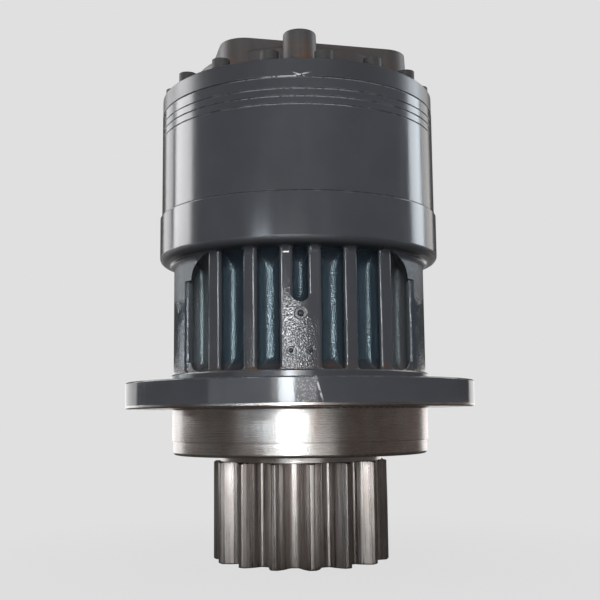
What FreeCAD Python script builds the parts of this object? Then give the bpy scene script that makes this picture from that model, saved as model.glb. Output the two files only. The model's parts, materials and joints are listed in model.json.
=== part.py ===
import FreeCAD
import Part
import math
import os
import re
import Sketcher
from FreeCAD import Placement, Rotation, Vector

# Swing gearbox: a two-stage planetary reduction over a pinion shaft, in millimetres.
# The origin lies on the shaft axis in the mounting face of the flange. +Z runs up to the motor pad,
# -Y is the front with the centre plate, and the pinion hangs below the flange.

SIZES = (
    # mounting flange, spigot and pad ring of the housing
    ("flange_diameter", 490),
    ("flange_thickness", 36),
    ("flange_edge", 1.5),
    ("flange_bolt_inset", 27.5),
    ("flange_bolt_hole", 26),
    ("flange_bolt_count", 12),
    ("spigot_diameter", 360),
    ("spigot_length", 44),
    ("spigot_fillet", 2.5),
    ("nose_step", 1.75),
    ("nose_length", 19),
    ("nose_round", 4),
    ("pad_ring_step", 3.5),
    ("pad_ring_height", 11),
    # ribbed body of the housing
    ("rib_diameter", 357),
    ("rib_width", 17.5),
    ("rib_phase", 0.7),
    ("rib_edge", 4),
    ("inner_rib_offset", 63.6),
    ("outer_rib_offset", 110.3),
    ("panel_offset", 144.4),
    ("panel_edge", 6),
    ("plate_width", 53),
    ("core_diameter", 290),
    ("pocket_cove", 26),
    ("pocket_foot_cove", 20),
    ("rib_flare", 4),
    ("panel_flare", 34),
    ("panel_foot_flare", 13),
    ("slot_width", 19),
    ("slot_length", 72),
    # lip of the housing under the ring gear
    ("housing_height", 270),
    ("lip_overhang", 20),
    ("lip_height", 66),
    ("lip_round", 9),
    ("lip_fillet", 10),
    ("joint_edge", 1.2),
    # front plate plug and rivets, drain at the back
    ("plate_plug_diameter", 14),
    ("plate_plug_height", 117),
    ("plate_plug_length", 12),
    ("plate_plug_sink", 2),
    ("plate_plug_rim", 1.2),
    ("plate_plug_dome", 4.5),
    ("rivet_diameter", 5.2),
    ("rivet_stand", 0.4),
    ("rivet_recess_diameter", 11),
    ("rivet_recess_depth", 1.2),
    ("rivet_length", 9),
    ("rivet_height", 70),
    ("rivet_spacing", 25),
    ("drain_height", 80),
    ("drain_thread", 24),
    ("drain_seat", 36),
    ("drain_seat_depth", 3),
    ("drain_length", 22),
    ("drain_head_height", 6),
    ("drain_head_inset", 2),
    # gear case, cover and their joints
    ("case_diameter", 392),
    ("case_inset", 2.5),
    ("ring_height", 148),
    ("groove_width", 2),
    ("groove_depth", 1),
    ("groove_top_drop", 15),
    ("groove_pitch", 10.2),
    ("register_diameter", 316),
    ("register_depth", 6),
    ("register_height", 5),
    ("seal_circle", 328),
    ("seal_section", 3),
    ("seal_groove_width", 4),
    ("cover_thickness", 25),
    ("cover_step", 0.3),
    ("drum_diameter", 298),
    ("drum_height", 35),
    ("drum_wall", 14),
    ("drum_roof", 16),
    ("drum_round", 4),
    ("pad_length", 265),
    ("pad_width", 227),
    ("pad_corner", 35),
    ("pad_height", 18),
    ("pad_turn", 13.3),
    ("pad_shift", 6),
    ("lobe_draft", 2.5),
    ("motor_register", 170),
    ("motor_register_depth", 8),
    ("motor_bore", 130),
    ("motor_thread", 16),
    ("motor_thread_depth", 34),
    ("boss_diameter", 45),
    ("boss_draft", 0.8),
    ("boss_radius", 153),
    ("boss_angle", 1.5),
    ("boss_height", 48),
    ("boss_web", 22),
    ("boss_web_start", 95),
    ("boss_round", 2.5),
    ("fill_thread", 27),
    ("fill_length", 20),
    ("fill_recess", 2),
    ("fill_passage", 12),
    ("fill_gap", 1),
    # case screws and dowels
    ("screw_circle", 360),
    ("screw_count", 16),
    ("screw_thread", 16),
    ("screw_hole", 17.5),
    ("screw_head", 24),
    ("screw_head_height", 16),
    ("screw_socket", 14),
    ("screw_socket_depth", 8),
    ("screw_grip_in_lip", 30),
    ("screw_hole_end", 6),
    ("spot_face", 27),
    ("spot_face_depth", 2),
    ("dowel_diameter", 12),
    ("dowel_length", 24),
    # gear teeth of both planetary stages
    ("gear_module", 5),
    ("ring_teeth", 60),
    ("sun_teeth", 18),
    ("pressure_angle", 20),
    ("backlash", 0.5),
    # pinion
    ("pinion_diameter", 243.6),
    ("pinion_teeth", 15),
    ("pinion_addendum", 1.2),
    ("pinion_tooth_depth", 1.807),
    ("pinion_tooth_thickness", 1.764),
    ("pinion_pressure_angle", 25),
    ("pinion_tooth_angle", 7.1),
    ("pinion_width", 135),
    ("pinion_drop", 72),
    ("pinion_chamfer", 1.5),
    ("pinion_chamfer_depth", 2.5),
    ("pinion_root_fillet", 5),
    ("pinion_centre_bore", 34),
    ("pinion_centre_depth", 30),
    # pinion shaft
    ("shaft_root_overlap", 5),
    ("shaft_relief", 4),
    ("shaft_land", 2),
    ("shaft_taper_end", 16),
    ("shaft_taper_start", 8),
    ("collar_seat_diameter", 160),
    ("collar_diameter", 200),
    ("collar_flange_diameter", 227),
    ("collar_flange_height", 7),
    ("seal_width", 16),
    ("seal_inset", 1),
    ("seal_flange", 4),
    ("seal_wall", 5),
    ("seal_neck", 9),
    ("seal_end_drop", 2),
    ("seal_lip_gap", 0.05),
    ("nut_thread_diameter", 120),
    ("nut_diameter", 158),
    ("nut_height", 20),
    ("nut_slot_width", 14),
    ("nut_slot_depth", 8),
    ("nut_slot_count", 6),
    ("lock_washer_height", 2.5),
    ("spline_teeth", 16),
    ("spline_module", 6),
    ("spline_play", 0.1),
    # main bearings
    ("lower_bearing_bore", 150),
    ("lower_bearing_outside", 270),
    ("lower_bearing_width", 77),
    ("lower_cup_width", 60),
    ("lower_cone_width", 73),
    ("lower_shoulder_height", 37),
    ("upper_bearing_bore", 130),
    ("upper_bearing_outside", 230),
    ("upper_bearing_width", 43.75),
    ("upper_cup_width", 34),
    ("upper_cone_width", 40),
    ("upper_shoulder_height", 150),
    ("roller_count", 16),
    ("roller_tilt", 12.5),
    ("roller_fill", 0.86),
    ("race_margin", 3),
    ("roller_play", 0.08),
    ("roller_end_gap", 0.75),
    ("cage_thickness", 3),
    ("roller_share", 0.26),
    ("cone_rib_share", 0.35),
    ("cage_lift_share", 0.2),
    ("cage_overhang", 1.8),
    ("bearing_shoulder", 11),
    ("bearing_shoulder_step", 6),
    ("upper_shoulder_land", 10),
    ("upper_shoulder_taper", 14),
    # carriers, planets and suns
    ("carrier_radius", 134),
    ("carrier_lower_plate", 24),
    ("carrier_upper_plate", 11),
    ("carrier_hub_diameter", 150),
    ("carrier_hub_drop", 30),
    ("carrier_floor_gap", 14),
    ("window_gap", 3),
    ("stage_2_width", 60),
    ("stage_1_width", 36),
    ("stage_1_lower_plate", 12),
    ("stage_1_upper_plate", 7),
    ("stage_gap", 3),
    ("carrier_1_inset", 6),
    ("stage_clearance", 4),
    ("carrier_clearance", 6),
    ("coupling_hub_diameter", 122),
    ("coupling_hub_drop", 11),
    ("coupling_gap", 3),
    ("planet_count", 3),
    ("pin_2_diameter", 44),
    ("pin_1_diameter", 32),
    ("pin_2_inset", 2),
    ("pin_1_inset", 1),
    ("needle_end_gap", 1),
    ("needle_thickness", 6),
    ("running_play", 0.05),
    ("thrust_washer", 2.5),
    ("thrust_washer_overlap", 8),
    ("end_plate_diameter", 92),
    ("end_plate_thickness", 8),
    ("end_screw_thread", 12),
    ("end_screw_head", 18),
    ("end_screw_head_height", 5),
    ("end_screw_circle", 56),
    ("end_screw_count", 3),
    ("end_screw_length", 30),
    ("end_screw_gap", 2),
    ("sun_washer", 2),
    ("sun_washer_bore", 16),
    ("sun_washer_diameter", 60),
    ("input_hub_diameter", 66),
    ("input_hub_height", 44),
    ("input_spline_teeth", 14),
    ("input_spline_module", 3),
    ("input_spline_floor", 6),
)

doc = FreeCAD.newDocument("swing_gearbox")
sheet = doc.addObject("Spreadsheet::Sheet", "sizes")
for row, (name, number) in enumerate(SIZES, start=1):
    sheet.set("A%d" % row, name)
    sheet.set("B%d" % row, str(number))
    sheet.setAlias("B%d" % row, name)
doc.recompute()


# Heights and places worked out from the sizes, as expressions in their names.
FLANGE_BOLT_CIRCLE = "(flange_diameter - 2 * flange_bolt_inset)"
NOSE_RADIUS = "(spigot_diameter / 2 - nose_step)"
NOSE_END = "(0 - spigot_length - nose_length)"
PAD_RING_RADIUS = "(rib_diameter / 2 + pad_ring_step)"
LIP_RADIUS = "max(rib_diameter / 2 + lip_overhang; case_diameter / 2 + case_inset)"
LIP_REACH = "(%s - rib_diameter / 2)" % LIP_RADIUS
RING_TOP = "(flange_thickness + pad_ring_height)"
LIP_UNDER = "(housing_height - lip_height)"
CASE_TOP = "(housing_height + ring_height)"
COVER_TOP = "(housing_height + ring_height + cover_thickness)"
BOSS_TOP = "(housing_height + ring_height + cover_thickness + boss_height)"
BOSS_CENTRE = ("boss_radius * sin(boss_angle * 1deg)", "0 - boss_radius * cos(boss_angle * 1deg)")
DRUM_TOP = "(housing_height + ring_height + cover_thickness + drum_height)"
PAD_TOP = "(housing_height + ring_height + cover_thickness + drum_height + pad_height)"
PLANET_TEETH = "((ring_teeth - sun_teeth) / 2)"
CENTRE_DISTANCE = "(gear_module * (ring_teeth + sun_teeth) / 4)"
PLANET_TIP = "(gear_module * (ring_teeth - sun_teeth + 4) / 4)"
SUN_TIP = "(gear_module * (sun_teeth + 2) / 2)"
RING_TIP = "(gear_module * (ring_teeth - 2) / 2)"
STAGE_2_BASE = "(housing_height + register_depth + stage_clearance)"
STAGE_2_TOP = "(%s + stage_2_width)" % STAGE_2_BASE
CARRIER_2_BASE = "(%s - window_gap - carrier_lower_plate)" % STAGE_2_BASE
CARRIER_2_TOP = "(%s + window_gap + carrier_upper_plate)" % STAGE_2_TOP
HUB_BASE = "(%s - carrier_hub_drop)" % CARRIER_2_BASE
CARRIER_1_BASE = "(%s + stage_gap)" % CARRIER_2_TOP
STAGE_1_BASE = "(%s + stage_1_lower_plate + window_gap)" % CARRIER_1_BASE
STAGE_1_TOP = "(%s + stage_1_width)" % STAGE_1_BASE
CARRIER_1_TOP = "(%s + window_gap + stage_1_upper_plate)" % STAGE_1_TOP
END_PLATE_BASE = "(%s - window_gap - end_plate_thickness - end_screw_head_height)" % STAGE_2_BASE
END_PLATE_TOP = "(%s + end_plate_thickness)" % END_PLATE_BASE
SUN_2_BASE = "(%s + end_screw_head_height + stage_clearance)" % END_PLATE_TOP
SUN_2_TOP = "(%s + stage_1_lower_plate)" % CARRIER_1_BASE
SUN_1_BASE = "(%s + sun_washer)" % SUN_2_TOP
LOWER_CONE_BASE = "(lower_shoulder_height - lower_bearing_width)"
UPPER_CONE_TOP = "(upper_shoulder_height + upper_bearing_width)"
PINION_MODULE = "(pinion_diameter / (pinion_teeth + 2 * pinion_addendum))"
PINION_ROOT = "(pinion_diameter / 2 - %s * pinion_tooth_depth)" % PINION_MODULE
NUT_BASE = "(upper_shoulder_height + upper_bearing_width + lock_washer_height)"
NUT_TOP = "(upper_shoulder_height + upper_bearing_width + lock_washer_height + nut_height)"


def bound(expression):
    """Point every size name in an expression at its cell."""
    return re.sub(r"\b(?!min\b|max\b|sin\b|cos\b|tan\b)[a-z]\w*", r"sizes.\g<0>", expression)


def value(expression):
    """Work an expression out as a plain number."""
    result = sheet.evalExpression(bound(str(expression)))
    return float(getattr(result, "Value", result))


def plane(body, role):
    for feature in body.Origin.OriginFeatures:
        if feature.Role == role:
            return feature
    raise ValueError("no origin feature " + role)


def new_body(label, groups=False):
    body = doc.addObject("PartDesign::Body", label)
    body.Label = label
    body.AllowCompound = groups
    return body


def new_sketch(body, name, role="XY_Plane", offset="0"):
    sketch = body.newObject("Sketcher::SketchObject", name)
    sketch.AttachmentSupport = [(plane(body, role), "")]
    sketch.MapMode = "FlatFace"
    sketch.AttachmentOffset = Placement(Vector(0, 0, value(offset)), Rotation())
    if offset != "0":
        sketch.setExpression("AttachmentOffset.Base.z", bound(offset))
    return sketch


def tie_point(sketch, line, end, across, up):
    """Hold one end of a line at distances from the origin that follow the sheet."""
    for kind, expression in (("DistanceX", across), ("DistanceY", up)):
        number = sketch.addConstraint(Sketcher.Constraint(kind, -1, 1, line, end, value(expression)))
        sketch.setExpression("Constraints[%d]" % number, bound(expression))


def outline_sketch(body, name, points, role="XZ_Plane", offset="0"):
    """A closed outline of straight lines whose corners follow the sheet."""
    sketch = new_sketch(body, name, role, offset)
    corners = [Vector(value(across), value(up), 0) for across, up in points]
    for index, corner in enumerate(corners):
        sketch.addGeometry(Part.LineSegment(corner, corners[(index + 1) % len(corners)]), False)
    for index in range(len(corners)):
        following = (index + 1) % len(corners)
        sketch.addConstraint(Sketcher.Constraint("Coincident", index, 2, following, 1))
    for index, (across, up) in enumerate(points):
        tie_point(sketch, index, 1, across, up)
    return sketch


def revolve(body, name, points, kind="Revolution"):
    """Turn an outline of radius and height about the shaft axis."""
    sketch = outline_sketch(body, name + "_outline", points)
    feature = body.newObject("PartDesign::" + kind, name)
    feature.Profile = sketch
    feature.ReferenceAxis = (sketch, ["V_Axis"])
    feature.Angle = 360
    doc.recompute()
    return feature


def turned_part(label, points):
    body = new_body(label)
    revolve(body, label + "_turned", points)
    return body


def pad(body, name, sketch, length, kind="Pad", reversed_side=False):
    feature = body.newObject("PartDesign::" + kind, name)
    feature.Profile = sketch
    feature.setExpression("Length", bound(length))
    feature.Reversed = reversed_side
    doc.recompute()
    return feature


def round_bar(body, name, radius, base, top, centre=("0", "0"), cut=False, far_radius=None):
    """A cylinder or cone along Z that adds to the body or cuts into it."""
    shape = "Cylinder" if far_radius is None else "Cone"
    feature = body.newObject("PartDesign::" + ("Subtractive" if cut else "Additive") + shape, name)
    if far_radius is None:
        feature.setExpression("Radius", bound(radius))
    else:
        feature.setExpression("Radius1", bound(radius))
        feature.setExpression("Radius2", bound(far_radius))
    feature.setExpression("Height", bound("(%s) - (%s)" % (top, base)))
    for axis, expression in zip("xyz", (centre[0], centre[1], base)):
        feature.setExpression("Placement.Base." + axis, bound(expression))
    doc.recompute()
    return feature


def cross_bar(body, name, radius, near, far, height, cut=True, direction=-90):
    """A cylinder along a radius, from one distance from the axis to another."""
    feature = body.newObject("PartDesign::" + ("Subtractive" if cut else "Additive") + "Cylinder", name)
    feature.setExpression("Radius", bound(radius))
    feature.setExpression("Height", bound("(%s) - (%s)" % (far, near)))
    spin = math.radians(direction)
    outward = Vector(math.cos(spin), math.sin(spin), 0)
    start = outward * value(near) + Vector(0, 0, value(height))
    feature.Placement = Placement(start, Rotation(Vector(0, 0, 1), outward))
    doc.recompute()
    return feature


def cross_ball(body, name, radius, distance, height, direction):
    """A ball whose centre lies at a distance from the axis in a given direction."""
    feature = body.newObject("PartDesign::AdditiveSphere", name)
    feature.setExpression("Radius", bound(radius))
    spin = math.radians(direction)
    reach = value(distance)
    feature.Placement.Base = Vector(reach * math.cos(spin), reach * math.sin(spin), value(height))
    doc.recompute()
    return feature


def repeat(body, name, features, count):
    """Repeat features evenly around the shaft axis."""
    pattern = body.newObject("PartDesign::PolarPattern", name)
    pattern.Originals = features
    pattern.Axis = (plane(body, "Z_Axis"), [""])
    pattern.Angle = 360
    pattern.setExpression("Occurrences", bound(count))
    body.Tip = pattern
    doc.recompute()
    return pattern


def is_ring_edge(edge, radius, height):
    box = edge.BoundBox
    return (hasattr(edge.Curve, "Radius") and abs(edge.Curve.Radius - radius) < 0.01
            and abs(box.ZMin - height) < 0.01 and abs(box.ZMax - height) < 0.01)


def dress(body, name, kind, size, base, wanted):
    """Fillet or chamfer the edges of a feature for which wanted(edge) holds."""
    names = ["Edge%d" % (index + 1) for index, edge in enumerate(base.Shape.Edges) if wanted(edge)]
    if not names:
        raise ValueError("no edge found for " + name)
    feature = body.newObject("PartDesign::" + kind, name)
    feature.Base = (base, names)
    feature.setExpression("Radius" if kind == "Fillet" else "Size", bound(size))
    doc.recompute()
    return feature


def dress_rings(body, name, kind, size, base, places):
    """Fillet or chamfer full circles given by radius and height."""
    spots = [(value(radius), value(height)) for radius, height in places]
    return dress(body, name, kind, size, base,
                 lambda edge: any(is_ring_edge(edge, radius, height) for radius, height in spots))


def group(label, shapes):
    """One named part made of separate solids, such as a set of equal screws."""
    feature = doc.addObject("Part::Feature", label)
    feature.Label = label
    feature.Shape = Part.makeCompound(shapes)
    return feature


def around(shape, count, start_angle):
    """Copies of a shape placed evenly about the shaft axis."""
    copies = []
    for index in range(count):
        copy = shape.copy()
        copy.rotate(Vector(0, 0, 0), Vector(0, 0, 1), start_angle + index * 360.0 / count)
        copies.append(copy)
    return copies


def involute(angle):
    return math.tan(angle) - angle


def tooth_outline(module, teeth, tip_radius, root_radius, thickness, steps=2, first=0.0,
                  pressure_angle="pressure_angle"):
    """Corner points of a toothed outline with faceted flanks; first turns the first tooth from +X."""
    pressure = math.radians(value(pressure_angle))
    pitch_radius = module * teeth / 2.0
    base_radius = pitch_radius * math.cos(pressure)
    half_at_pitch = thickness / (2.0 * pitch_radius) + involute(pressure)

    def half_angle(radius):
        return half_at_pitch - involute(math.acos(base_radius / max(radius, base_radius)))

    radii = [root_radius + (tip_radius - root_radius) * step / float(steps) for step in range(steps + 1)]
    flank = [(radius, half_angle(radius)) for radius in radii]
    points = []
    for tooth in range(teeth):
        middle = 2.0 * math.pi * tooth / teeth + first
        for radius, half in flank:
            points.append(Vector(radius * math.cos(middle - half), radius * math.sin(middle - half), 0))
        for radius, half in reversed(flank):
            points.append(Vector(radius * math.cos(middle + half), radius * math.sin(middle + half), 0))
    return points


# How far a cutting shape reaches past the surface that it opens.
OVERSHOOT = 5


def polyline(points):
    """Straight sketch lines from each point to the next."""
    return [Part.LineSegment(start, finish) for start, finish in zip(points, points[1:])]


def tooth_sketch(body, name, points, offset):
    sketch = new_sketch(body, name, "XY_Plane", offset)
    sketch.addGeometry(polyline(points + points[:1]), False)
    return sketch


def stage_gear_points(teeth):
    module = value("gear_module")
    pitch_radius = module * teeth / 2.0
    thickness = math.pi * module / 2.0 - value("backlash") / 2.0
    return tooth_outline(module, teeth, pitch_radius + module, pitch_radius - 1.25 * module, thickness)


def spline_points(teeth, module, play):
    """A stub-toothed spline outline; play widens it for the hub."""
    pitch_radius = module * teeth / 2.0
    return tooth_outline(module, teeth, pitch_radius + module / 2 + play, pitch_radius - module / 2 + play,
                         math.pi * module / 2 + 2 * play, steps=1)


nodes = {}


def keep(label, item):
    """Register an object as the node that carries this label."""
    item.Label = label
    nodes[label] = item
    return item


# Housing: flange, spigot, ribbed body and lip turned in one, with the bearing seats inside.
SHOULDER_LOW = "(lower_bearing_outside / 2 - bearing_shoulder - bearing_shoulder_step)"
SHOULDER_UP = "(upper_bearing_outside / 2 - bearing_shoulder)"
CARRIER_WELL = "(carrier_radius + carrier_clearance)"
WELL_FLOOR = "(%s - carrier_floor_gap)" % CARRIER_2_BASE


def housing_blank():
    body = new_body("housing_blank")
    turned = revolve(body, "housing_turned", [
        ("lower_bearing_outside / 2", NOSE_END),
        (NOSE_RADIUS, NOSE_END),
        (NOSE_RADIUS, "0 - spigot_length"),
        ("spigot_diameter / 2", "0 - spigot_length"),
        ("spigot_diameter / 2", "0"),
        ("flange_diameter / 2", "0"),
        ("flange_diameter / 2", "flange_thickness"),
        (PAD_RING_RADIUS, "flange_thickness"),
        (PAD_RING_RADIUS, RING_TOP),
        ("rib_diameter / 2", RING_TOP),
        ("rib_diameter / 2", LIP_UNDER),
        (LIP_RADIUS, LIP_UNDER),
        (LIP_RADIUS, "housing_height"),
        ("(seal_circle + seal_groove_width) / 2", "housing_height"),
        ("(seal_circle + seal_groove_width) / 2", "housing_height - seal_section"),
        ("(seal_circle - seal_groove_width) / 2", "housing_height - seal_section"),
        ("(seal_circle - seal_groove_width) / 2", "housing_height"),
        ("register_diameter / 2 - running_play", "housing_height"),
        ("register_diameter / 2 - running_play", "housing_height + register_height"),
        (CARRIER_WELL, "housing_height + register_height"),
        (CARRIER_WELL, WELL_FLOOR),
        ("upper_bearing_outside / 2", WELL_FLOOR),
        ("upper_bearing_outside / 2", "upper_shoulder_height"),
        (SHOULDER_UP, "upper_shoulder_height"),
        (SHOULDER_UP, "upper_shoulder_height - upper_shoulder_land"),
        (SHOULDER_LOW, "upper_shoulder_height - upper_shoulder_land - upper_shoulder_taper"),
        (SHOULDER_LOW, "lower_shoulder_height"),
        ("lower_bearing_outside / 2", "lower_shoulder_height"),
    ])
    edges = dress_rings(body, "lip_under_fillet", "Fillet", "min(lip_fillet; %s / 2)" % LIP_REACH,
                        turned, [("rib_diameter / 2", LIP_UNDER)])
    edges = dress_rings(body, "lip_round", "Fillet", "min(lip_round; %s / 2.2)" % LIP_REACH,
                        edges, [(LIP_RADIUS, LIP_UNDER)])
    edges = dress_rings(body, "spigot_root", "Fillet", "spigot_fillet", edges, [("spigot_diameter / 2", "0")])
    edges = dress_rings(body, "nose_round", "Fillet", "nose_round", edges, [(NOSE_RADIUS, NOSE_END)])
    edges = dress_rings(body, "flange_edges", "Chamfer", "flange_edge", edges,
                        [("flange_diameter / 2", "0"), ("flange_diameter / 2", "flange_thickness"),
                         (PAD_RING_RADIUS, RING_TOP)])
    dress_rings(body, "lip_joint_edge", "Chamfer", "joint_edge", edges, [(LIP_RADIUS, "housing_height")])
    hole = round_bar(body, "flange_hole", "flange_bolt_hole / 2", "0", "flange_thickness",
                     (FLANGE_BOLT_CIRCLE + " / 2 * sin(180deg / flange_bolt_count)",
                      "0 - %s / 2 * cos(180deg / flange_bolt_count)" % FLANGE_BOLT_CIRCLE), cut=True)
    repeat(body, "flange_holes", [hole], "flange_bolt_count")
    thread = round_bar(body, "screw_thread_hole", "screw_thread / 2 + spline_play / 2",
                       "housing_height - screw_grip_in_lip - screw_hole_end", "housing_height",
                       screw_centre(), cut=True)
    repeat(body, "screw_thread_holes", [thread], "screw_count")
    dowel = round_bar(body, "dowel_seat", "dowel_diameter / 2", "housing_height - dowel_length / 2",
                      "housing_height", ("screw_circle / 2", "0"), cut=True)
    repeat(body, "dowel_seats", [dowel], "2")
    front = value("rib_phase") - 90
    face = "rib_diameter / 2"
    outside = PAD_RING_RADIUS
    cross_bar(body, "plate_plug_hole", "plate_plug_diameter / 2", face + " - plate_plug_length",
              outside, "plate_plug_height", direction=front)
    cross_bar(body, "plate_plug_rim_cut", "plate_plug_diameter / 2 + plate_plug_rim",
              face + " - plate_plug_rim", outside, "plate_plug_height", direction=front)
    for side in (-1, 1):
        place = front + side * rivet_turn()
        cross_bar(body, "rivet_hole_%d" % (side + 2), "rivet_diameter / 2",
                  face + " - rivet_length", outside, "rivet_height", direction=place)
        cross_bar(body, "rivet_recess_%d" % (side + 2), "rivet_recess_diameter / 2",
                  face + " - rivet_recess_depth", outside, "rivet_height", direction=place)
    back = value("rib_phase") + 90
    cross_bar(body, "drain_seat_cut", "drain_seat / 2", face + " - drain_seat_depth",
              outside, "drain_height", direction=back)
    cross_bar(body, "drain_hole", "drain_thread / 2", SHOULDER_LOW + " - drain_seat_depth",
              outside, "drain_height", direction=back)
    return body


def screw_centre():
    half_pitch = "(180deg / screw_count)"
    return ("screw_circle / 2 * sin(%s)" % half_pitch, "0 - screw_circle / 2 * cos(%s)" % half_pitch)


def rivet_turn():
    """Angle about the shaft axis from the middle of the front plate to a rivet."""
    return math.degrees(value("rivet_spacing / rib_diameter"))


def mouth_round(across, edge, hand):
    """Where a rib's rounded edge begins on the pocket wall and where it ends on the outside of the ribs."""
    outside = value("rib_diameter / 2")
    middle = Vector(0, across + hand * edge, 0)
    middle.x = math.sqrt((outside - edge) ** 2 - middle.y ** 2)
    return middle, Vector(middle.x, across, 0), middle * (outside / (outside - edge))


def channel_section(body, name, near, far, near_edge, far_edge, foot):
    """Sketch of a pocket seen from above: round back, two walls along the mould's draw, rounded mouth."""
    radius = (far - near) / 2.0
    middle = (far + near) / 2.0
    reach = value(LIP_RADIUS) + 2 * OVERSHOOT
    centre = Vector(math.sqrt(value("core_diameter / 2") ** 2 - middle ** 2) + radius, middle, 0)
    near_round, near_wall, near_mouth = mouth_round(near, near_edge, -1)
    far_round, far_wall, far_mouth = mouth_round(far, far_edge, 1)
    axis = Vector(0, 0, 1)
    near_turn = math.atan2(near_round.y, near_round.x)
    far_turn = math.atan2(far_round.y, far_round.x)
    sketch = new_sketch(body, name + "_section", "XY_Plane", foot)
    sketch.addGeometry([
        Part.ArcOfCircle(Part.Circle(centre, axis, radius), math.pi / 2, 3 * math.pi / 2),
        Part.ArcOfCircle(Part.Circle(near_round, axis, near_edge), near_turn, math.pi / 2),
        Part.ArcOfCircle(Part.Circle(far_round, axis, far_edge), -math.pi / 2, far_turn),
        Part.LineSegment(Vector(centre.x, near, 0), near_wall),
        Part.LineSegment(Vector(centre.x, far, 0), far_wall),
    ], False)
    outer = [near_mouth, Vector(reach, near_mouth.y, 0), Vector(reach, far_mouth.y, 0), far_mouth]
    sketch.addGeometry(polyline(outer), False)
    return sketch, max(near_mouth.x, far_mouth.x)


def end_edges(height, far):
    """A test for the edges of a cutter's end face that lie inside the ribs."""
    level = value(height)
    return lambda edge: (max(abs(edge.BoundBox.ZMin - level), abs(edge.BoundBox.ZMax - level)) < 0.01
                         and edge.BoundBox.XMax < far + 0.01)


def round_corner(body, name, across, height, flare, side, end):
    """Round one corner of a cutter's front outline, so that the panel beside the pocket flares out."""
    radius = value(flare)
    level = value(height)
    centre = Vector(across - side * radius, level - end * radius, 0)
    beyond = Vector(across + side * radius / 3, level + end * radius / 3, 0)
    middle = math.atan2(end, side)
    corners = [Vector(across, centre.y, 0), Vector(beyond.x, centre.y, 0), beyond,
               Vector(centre.x, beyond.y, 0), Vector(centre.x, level, 0)]
    sketch = new_sketch(body, name + "_outline", "YZ_Plane")
    circle = Part.Circle(centre, Vector(0, 0, 1), radius)
    sketch.addGeometry(Part.ArcOfCircle(circle, middle - math.pi / 4, middle + math.pi / 4), False)
    sketch.addGeometry(polyline(corners), False)
    pad(body, name, sketch, "%s + %d" % (LIP_RADIUS, 3 * OVERSHOOT), kind="Pocket",
        reversed_side=True)


def channel_cutter(name, near, far, turn, near_edge="rib_edge", far_edge="rib_edge", foot=RING_TOP,
                   foot_round="rib_flare"):
    """A pocket between two walls at distances from the middle plane, drawn towards the front or back."""
    body = new_body(name)
    sketch, mouth = channel_section(body, name, near, far, value(near_edge), value(far_edge), foot)
    cutter = pad(body, name + "_prism", sketch, "%s - %s" % (LIP_UNDER, foot))
    cutter = dress(body, name + "_top", "Fillet", "rib_flare", cutter, end_edges(LIP_UNDER, mouth))
    dress(body, name + "_foot", "Fillet", foot_round, cutter, end_edges(foot, mouth))
    if "panel_edge" in (near_edge, far_edge):
        side, across = (1, far) if far_edge == "panel_edge" else (-1, near)
        round_corner(body, name + "_top_flare", across, LIP_UNDER, "panel_flare", side, 1)
        round_corner(body, name + "_foot_flare", across, RING_TOP, "panel_foot_flare", side, -1)
    body.Placement.Rotation = Rotation(Vector(0, 0, 1), turn - 90 + value("rib_phase"))
    return body


def pocket_cutters(turn):
    """The six pockets of the front (turn 0) or of the back (turn 180)."""
    half_rib = value("rib_width / 2")
    inner, outer = value("inner_rib_offset"), value("outer_rib_offset")
    spans = [(value("plate_width / 2"), inner - half_rib), (inner + half_rib, outer - half_rib)]
    cutters = []
    for number, (near, far) in enumerate(spans, start=1):
        cutters.append(channel_cutter("pocket_%d_%d_right" % (turn, number), near, far, turn))
        cutters.append(channel_cutter("pocket_%d_%d_left" % (turn, number), -far, -near, turn))
    near, far = outer + half_rib, value("panel_offset")
    cutters.append(channel_cutter("pocket_%d_3_right" % turn, near, far, turn, far_edge="panel_edge"))
    cutters.append(channel_cutter("pocket_%d_3_left" % turn, -far, -near, turn, near_edge="panel_edge"))
    return cutters


def slot_cutter():
    """The round-ended slot down the upper half of the front plate."""
    half_width = value("slot_width / 2")
    return channel_cutter("slot_cutter", -half_width, half_width, 0, foot="(%s - slot_length)" % LIP_UNDER,
                          foot_round="slot_width * 0.49")


def pocket_band():
    """The ring in which all pockets lie: its coves lead their backs out to the lip and to the foot."""
    body = new_body("pocket_band")
    core = "core_diameter / 2"
    outside = "%s + %d" % (LIP_RADIUS, OVERSHOOT)
    ring = revolve(body, "pocket_band_turned", [
        (core, RING_TOP),
        (outside, RING_TOP),
        (outside, LIP_UNDER),
        (core, LIP_UNDER),
    ])
    ring = dress_rings(body, "pocket_top_cove", "Fillet", "pocket_cove", ring, [(core, LIP_UNDER)])
    dress_rings(body, "pocket_foot_cove", "Fillet", "pocket_foot_cove", ring, [(core, RING_TOP)])
    return body


def housing():
    blank = housing_blank()
    cutters = [slot_cutter()] + pocket_cutters(0) + pocket_cutters(180)
    band = pocket_band()
    prisms = doc.addObject("Part::MultiFuse", "pocket_prisms")
    prisms.Shapes = cutters
    pockets = doc.addObject("Part::MultiCommon", "housing_pockets")
    pockets.Shapes = [prisms, band]
    cut = doc.addObject("Part::Cut", "housing")
    cut.Base = blank
    cut.Tool = pockets
    doc.recompute()
    keep("housing", cut)


def case_joint_holes(body, name, base, top, radius):
    hole = round_bar(body, name, radius, base, top, screw_centre(), cut=True)
    return repeat(body, name + "s", [hole], "screw_count")


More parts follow.
